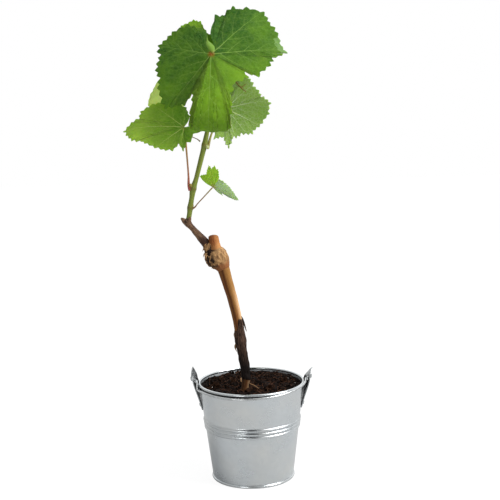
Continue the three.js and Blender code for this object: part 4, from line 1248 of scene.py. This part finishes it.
def tooth_marks(leaf, tips, length):
    """Places along the edge, and how far each stands out: a tooth on each tip and evenly between, with
    notches half-way."""
    draw = np.random.RandomState(leaf["seed"])
    spacing, depth = leaf["tooth"]
    marks = [(0.0, 0.0), (tips[0] - spacing / 2, -0.5 * depth), (tips[0], 0.4 * depth)]
    for start, end in zip(tips[:-1], tips[1:]):
        teeth = max(1, round((end - start) / spacing))
        pitch = (end - start) / teeth
        for i in range(teeth):
            notch = start + pitch * (i + 0.5 + 0.2 * (draw.rand() - 0.5))
            marks.append((notch, -depth * (0.5 + 0.3 * draw.rand())))
            if i == teeth - 1:
                marks.append((end, depth * 0.5))
            else:
                tooth = start + pitch * (i + 1 + 0.24 * (draw.rand() - 0.5))
                marks.append((tooth, depth * 0.75 * draw.rand()))
    return marks + [(tips[-1] + spacing / 2, -0.5 * depth), (length, 0.0)]


def vein_line(start, heading, stride, count, sweep, inside):
    """Points of a vein grown step by step, turning by sweep degrees in all, as long as it is inside."""
    points = [np.array(start, float)]
    for _ in range(count):
        heading += math.radians(sweep) / count
        here = points[-1] + stride * np.array([math.cos(heading), math.sin(heading)])
        if not inside(here):
            break
        points.append(here)
    return points


def heading_at(line, k):
    """The direction of a line of points at its point k, in radians."""
    return math.atan2(*(line[k + 1] - line[k])[::-1])


def leaf_veins(leaf, outline):
    """Segments of all veins: rows of [x, y, next x, next y, half width, paleness]. Each main vein sends side
    veins to both sides in turn, and those send out forks in pairs."""
    angles = np.arctan2(outline[:, 1], outline[:, 0])
    order = np.argsort(angles)
    edge_angle, edge_reach = angles[order], np.hypot(*outline.T)[order]
    draw = np.random.RandomState(leaf["seed"] + 100)
    scale = leaf["size"] / FULL_SIZE
    girth = max(scale, 0.55)
    stride = 1.6 * max(scale, 0.4)
    segments = []

    def reach_at(angle):
        angle = (angle + math.pi) % (2 * math.pi) - math.pi
        return np.interp(angle, edge_angle, edge_reach)

    def vein(start, heading, length, half, pale, sweep, low=-math.inf, high=math.inf):
        """Adds one vein, thinner and fainter towards its end, that keeps between two angles."""

        def inside(here):
            angle = math.atan2(here[1], here[0])
            return np.hypot(*here) <= 0.975 * reach_at(angle) and low < angle < high

        count = max(2, int(length / stride))
        points = vein_line(start, heading, stride, count, sweep, inside)
        for k in range(len(points) - 1):
            thinner, fainter = 1 - 0.7 * k / count, 1 - 0.65 * k / count
            segments.append([*points[k], *points[k + 1], half * thinner, pale * fainter])
        return points

    spread = [math.radians(a) for a, _ in leaf["veins"]]
    for n, (main, (_, strength)) in enumerate(zip(spread, leaf["veins"])):
        reach = reach_at(main) * 0.97
        drift = 16 * (draw.rand() - 0.5)
        line = vein([0, 0], main - math.radians(drift / 2), reach, (0.2 + 0.18 * strength) * girth,
                    0.8 * strength, drift)
        low = (spread[n - 1] + main) / 2 - 0.06 if n else main - 1.3
        high = (spread[n + 1] + main) / 2 + 0.06 if n < len(spread) - 1 else main + 1.3
        pitch = 0.105 if reach > 40 else 0.13
        for m, share in enumerate(np.arange(0.13, 0.92, pitch)):
            turn = 1 if m % 2 else -1
            k = min(int(share * len(line)), len(line) - 2)
            lean = math.radians(50 - 14 * share + 8 * (draw.rand() - 0.5))
            fading = 1 - 0.4 * share
            side = vein(line[k], heading_at(line, k) + turn * lean, reach * (0.62 - 0.4 * share),
                        0.26 * girth * fading, 0.55 * fading, -turn * 22, low, high)
            for j in range(4, len(side) - 3, 5):
                for hand in (1, -1):
                    vein(side[j], heading_at(side, j) + hand * math.radians(52), 7.5 * scale, 0.16, 0.15,
                         -hand * 20, low, high)
    return np.array(segments)


def vein_field(flat, segments):
    """For each flat point: the signed distance to the nearest vein in half widths, the distance in mm,
    and that vein's half width and paleness."""
    starts, ends = segments[:, :2], segments[:, 2:4]
    tree = kdtree.KDTree(len(segments) * 2)
    for k, (start, end) in enumerate(zip(starts, ends)):
        tree.insert((*(start * 0.75 + end * 0.25), 0), 2 * k)
        tree.insert((*(start * 0.25 + end * 0.75), 0), 2 * k + 1)
    tree.balance()
    nearest = np.array([tree.find((x, y, 0))[1] // 2 for x, y in flat])
    along = (ends - starts)[nearest]
    span = np.linalg.norm(along, axis=1)
    along = along / span[:, None]
    away = flat - starts[nearest]
    ahead = (away * along).sum(1)
    signed = along[:, 0] * away[:, 1] - along[:, 1] * away[:, 0]
    past = np.maximum(np.maximum(-ahead, ahead - span), 0)
    half, pale = segments[nearest, 4:].T
    return signed / half, np.hypot(signed, past), half, pale


def blade_side(leaf, outline, segments, side, rows):
    """One side of a blade, 1 for the upper and -1 for the underside: points from the stalk to the edge,
    their places on the UV map, and what the skin reads of them. It is quilted between the veins and ruffled
    at the edge, and on the underside the veins stand out."""
    scale = leaf["size"] / FULL_SIZE
    shares = np.arange(1, rows + 1) / rows
    flat = np.concatenate([[[0.01, 0.0]], (outline[None] * shares[:, None, None]).reshape(-1, 2)])
    place = bend(leaf, flat)
    normal = unit(np.cross(bend(leaf, flat + [0.5, 0]) - place, bend(leaf, flat + [0, 0.5]) - place))
    vein_side, away, half, pale = vein_field(flat, segments)
    reach = np.hypot(flat[:, 0], flat[:, 1])
    share = reach / leaf["size"]
    pad = np.column_stack([flat, np.full(len(flat), leaf["seed"] * 10.0)])
    quilt = QUILT * (1 - bell(away, 0, 3.6 * max(scale, 0.5))) * (0.8 + 0.5 * wander(pad, 9, 2))
    ruffle = RUFFLE * wander(pad, 21 * max(scale, 0.5), 4) * np.clip(share, 0, 1) ** 2
    crisp = CRISP * wander(pad, 6, 6) * np.clip(share, 0, 1) ** 3
    lift = (quilt * max(scale, 0.45) + (ruffle + crisp) * max(scale, 0.4)) * step(1, 8, reach)
    if side < 0:
        lift = lift - half / 0.62 * 0.5 * bell(away, 0, np.maximum(half * 1.3, 0.7))
    thick = side * BLADE / 2 * (0.6 + 0.4 * step(0, 6, reach))
    turn = np.degrees(np.arctan2(flat[:, 1], flat[:, 0]))
    # How bright and yellow the skin is, by angle and distance out: partly tone, partly painted light and
    # shade.
    ages = np.array(leaf["young"], float)
    inner, middle, outer = [np.interp(turn, ages[:, 0], ages[:, k]) for k in (1, 2, 3)]
    young = (inner + (middle - inner) * np.clip(share / 0.75, 0, 1)
             + (outer - middle) * step(0.6, 0.78, share))
    size = np.abs(outline).max() * 1.02
    uv = np.column_stack([0.5 - side * 0.25 + flat[:, 0] / size * 0.24, 0.5 + flat[:, 1] / size * 0.48])
    return place + normal * (lift + thick)[:, None], uv, {
        "flat": np.column_stack([flat * MM, np.full(len(flat), side * 0.05)]),
        "vein_side": vein_side, "vein_away": away, "vein_pale": pale, "reach": reach, "young": young}


def leaf(name, skins):
    """One blade: the upper side and the underside of its fan, joined round the edge."""
    shape = LEAVES[name]
    outline = leaf_edge(shape)
    segments = leaf_veins(shape, outline)
    count = len(outline)
    first_turned, last_turned, turned_from = shape.get("turned", [0, 0, 1])
    edge_turn = np.degrees(np.arctan2(outline[:-1, 1], outline[:-1, 0]))
    turned = (first_turned < edge_turn) & (edge_turn < last_turned)
    sides, faces, picks, grids = [], [], [], []
    hub = 0
    for side, rows in ((1, shape["rows"]), (-1, shape["rows"] // 2)):
        sides.append(blade_side(shape, outline, segments, side, rows))
        fan = [(hub, hub + 1 + i, hub + 2 + i) for i in range(count - 1)]
        faces += [face[::side] for face in fan + quads(rows, count, hub + 1, closed=False, over=True)]
        picks.append(((side < 0) | (turned & (np.arange(rows)[:, None] >= turned_from * rows))).ravel())
        grids.append(hub + 1 + np.arange(rows * count).reshape(rows, count))
        hub += 1 + rows * count
    above, below = [grid[-1].tolist() for grid in grids]
    faces += [(above[i], below[i], below[i + 1], above[i + 1]) for i in range(count - 1)]
    for column in (0, -1):
        above, below = [[int(grid[0, 0]) - 1, *grid[:, column].tolist()] for grid in grids]
        seam = [above[2 * k:2 * k + 3] + [below[k + 1], below[k]] for k in range(len(below) - 1)]
        faces += [face[::-1] if column else face for face in seam]
    picks = np.concatenate(picks)
    picks = np.pad(picks, (0, len(faces) - len(picks))).astype(int)
    points, uv = [np.concatenate([made[k] for made in sides]) for k in (0, 1)]
    values = {key: np.concatenate([read[key] for _, _, read in sides]) for key in sides[0][2]}
    show(build(name + "_blade", points, faces, skins, picks, uv, values), stands_for=[name])


# ---- stage ----
def stage_floor():
    """A pale floor. Most of what the camera sees of it is an even white, under a soft shadow."""
    material, tree = blank("white floor")
    paint = add_node(tree, "ShaderNodeBsdfDiffuse", {"Color": "#bcbcbc"})
    white = add_node(tree, "ShaderNodeEmission", {"Color": "#ffffff", "Strength": 1.25})
    seen = add_node(tree, "ShaderNodeLightPath").outputs["Is Camera Ray"]
    share = add_node(tree, "ShaderNodeMapRange", {"Value": seen, "To Min": 0.05, "To Max": 0.72})
    both = add_node(tree, "ShaderNodeMixShader", {0: share, 1: paint, 2: white})
    add_node(tree, "ShaderNodeOutputMaterial", {0: both})
    size = 4000
    corners = [[-size, -size, 0], [size, -size, 0], [size, size, 0], [-size, size, 0]]
    build("floor", corners, [(0, 1, 2, 3)], [material])


def studio_world():
    """White all round for the camera. For reflections and light the room behind the viewer is dark, and the
    rest is brighter above, on the right and behind the plant."""
    world = bpy.data.worlds.new("studio")
    bpy.context.scene.world = world
    world.use_nodes = True
    tree = world.node_tree
    tree.nodes.clear()
    way = add_node(tree, "ShaderNodeTexCoord").outputs["Generated"]
    parts = add_node(tree, "ShaderNodeSeparateXYZ", {0: way}).outputs
    dark = add_node(tree, "ShaderNodeVectorMath", {
        0: way, 1: (-0.12, -0.87, 0.48)}, operation="DOT_PRODUCT").outputs["Value"]
    glow = add_node(tree, "ShaderNodeMapRange", {
        "Value": dark, "From Min": 0.97, "From Max": 0.78, "To Min": 0.0, "To Max": 0.6},
        interpolation_type="SMOOTHSTEP")
    for axis, start, end, low, high in (
            ("Z", 0.1, 1.0, 0.75, 1.5), ("X", -1.0, 1.0, 0.8, 1.25), ("Y", 0.3, 0.9, 1.0, 2.0)):
        share = add_node(tree, "ShaderNodeMapRange", {
            "Value": parts[axis], "From Min": start, "From Max": end, "To Min": low, "To Max": high})
        glow = add_node(tree, "ShaderNodeMath", {0: glow, 1: share}, operation="MULTIPLY")
    seen = add_node(tree, "ShaderNodeLightPath").outputs["Is Camera Ray"]
    strength = add_node(tree, "ShaderNodeMix", {0: seen, 2: glow, 3: 1.0}, data_type="FLOAT")
    back = add_node(tree, "ShaderNodeBackground", {"Color": "#ffffff", "Strength": strength})
    add_node(tree, "ShaderNodeOutputWorld", {0: back})


def lamp(name, at, towards, size, power):
    """A square lamp, size mm wide, that faces a point."""
    data = bpy.data.lights.new(name, "AREA")
    data.size = size * MM
    data.energy = power
    light = link(name, data)
    light.location = Vector(at) * MM
    light.rotation_euler = (Vector(towards) - Vector(at)).to_track_quat("-Z", "Y").to_euler()


def camera():
    """A 75 mm lens 1.05 m in front, level with the crown and looking a little down."""
    data = bpy.data.cameras.new("camera")
    data.lens = 75
    data.sensor_width = 36
    data.dof.use_dof = False
    view = link("camera", data)
    pitch, roll, yaw = np.radians([8.14, -1.41, 0.11])
    ahead = Vector((math.sin(yaw) * math.cos(pitch), math.cos(yaw) * math.cos(pitch), -math.sin(pitch)))
    right = ahead.cross(Vector((0, 0, 1))).normalized()
    up = right.cross(ahead)
    across = right * math.cos(roll) + up * math.sin(roll)
    upright = up * math.cos(roll) - right * math.sin(roll)
    turned = Matrix((across, upright, -ahead)).transposed().to_4x4()
    turned.translation = Vector((0, -1047, 387)) * MM
    view.matrix_world = turned
    bpy.context.scene.camera = view


# ---- assembly ----
camera()
studio_world()
stage_floor()
lamp("key", (1000, -350, 1150), (0, 0, 200), size=800, power=22)
lamp("fill", (-700, -1500, 300), (0, 0, 300), size=600, power=4)

# The outer sheet and the rolled rim both carry the band of painted shade under the rim.
zinc = galvanised_sheet("galvanised sheet", rough=0.24)
rolled = galvanised_sheet("burnished zinc edge", rough=0.12)
inside = galvanised_sheet("dull zinc inside", rough=0.5, painted_shade_depth=0.0)
# The ears' zinc: darker all over than the pail's.
dimmed = galvanised_sheet("weathered zinc ears", rough=0.34, painted_shade_depth=0.0, overall_darkening=0.25)
# The ears' inner faces: black painted shade below 104 mm.
behind_ear = galvanised_sheet("grimy zinc behind the ears", rough=0.34, painted_shade_span=(74, 104), overall_darkening=0.12)
wire = drawn_wire()
pail(zinc, rolled, inside)
pail_base(rolled)
for side, word in ((-1, "left"), (1, "right")):
    ear(side, word, dimmed, behind_ear)
    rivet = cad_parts["rivet_" + word].data
    rivet.materials.clear()
    rivet.materials.append(wire)
bail(wire)

dark = peat("damp peat", "#060302", "#1e130e", clump=2.2)
brown = peat("brown peat", "#120a06", "#3a2416", clump=2.0)
fibre = peat("peat fibre", "#2e1a10", "#7c5640", clump=1.5)
soil_bed(dark)
soil_litter(dark, brown, fibre, perlite())

cork = corky_wood("corky callus", "#7a5430", "#cba06c", "#28160a", "#8a5028")
shred = stalk_skin("loose bark", "#8a6a4a", "#9a7a58", "#2a1e18", span=(100, 166))
for name, stations in SHREDS.items():
    show(rods(name, [smooth(stations, 24)], shred, sides=8))
trunk(vine_wood())
knob(cork)
knob_flakes(cork)
stub(corky_wood("cut cane", "#703614", "#a6622c", "#46240e", "#c08850"))
spur(corky_wood("old spur bark", "#4a3324", "#8c6c50", "#1e120c", "#341a10"))
shoot(green_bark())

green_stalk = stalk_skin("green stalk", "#8a5a3e", "#8d8a45", "#93a04a", span=(280, 430))
other_stalks = {
    "petiole_lower_left": stalk_skin("reddish stalk", "#a2524a", "#a07a52", "#c9a04a", span=(300, 362)),
    "petiole_small": stalk_skin("brown stalk", "#8c6a50", "#9a7a58", "#a89a5a", span=(280, 300)),
}
for name, stations in PETIOLES.items():
    look = other_stalks.get(name, green_stalk)
    show(rods(name + "_stalk", [smooth(stations, 60)], look, sides=14), stands_for=[name])
bud_scales = stalk_skin("bud scales", "#8d8a45", "#8a6a3c", "#b4bc80", span=(290, 344))
for name, (at, aim, size) in BUDS.items():
    bud(name, at, aim, size, bud_scales)
notch_fold(stalk_skin("young folded lip", "#7c6a2c", "#648a2a", "#6e9234", span=(433, 441)))
tendril = stalk_skin("dry tendril", "#605028", "#6e602a", "#7c6c2e", span=(340, 410))
for name, stations in TENDRILS.items():
    show(rods(name, [smooth(stations, 40)], tendril, sides=8))

LEAF_COLOURS = {  # of each leaf's upper side and underside: deep, bright, veins; and where the stalk joins
    "leaf_main": (["#30561d", "#7aa226", "#8cab54"], ["#5e8040", "#7c9c5a", "#9cb47c"], "#8a4a1c"),
    "leaf_lower_left": (["#568424", "#a2c444", "#bcd070"], ["#6a8a34", "#83a048", "#a9bc74"], "#7c8a34"),
    "leaf_back_right": (["#4c7a1c", "#6a9a26", "#8aa44c"], ["#7a9a44", "#98b45a", "#d8e2b8"], "#b4b864"),
    # The back left leaf is brightened as painted light: the light shining through it from behind.
    "leaf_back_left": (["#a2c244", "#bcd85c", "#d0dc90"], ["#c4e070", "#daee86", "#dce6ac"], "#a8b464"),
    "leaf_top": (["#50781c", "#749a2a", "#98b450"], ["#8fac44", "#a8c458", "#b9cc84"], "#8a8a3c"),
    "leaf_small": (["#86ae2c", "#a8cf40", "#b6cc64"], ["#76925e", "#96ac78", "#b4c298"], "#8a7a40"),
}
for name, (upper, under, hub) in LEAF_COLOURS.items():
    leaf(name, [leaf_skin(name + " upper skin", *upper, hub, UPPER),
                leaf_skin(name + " under skin", *under, hub, UNDER)])

bpy.context.scene.view_settings.view_transform = "Standard"
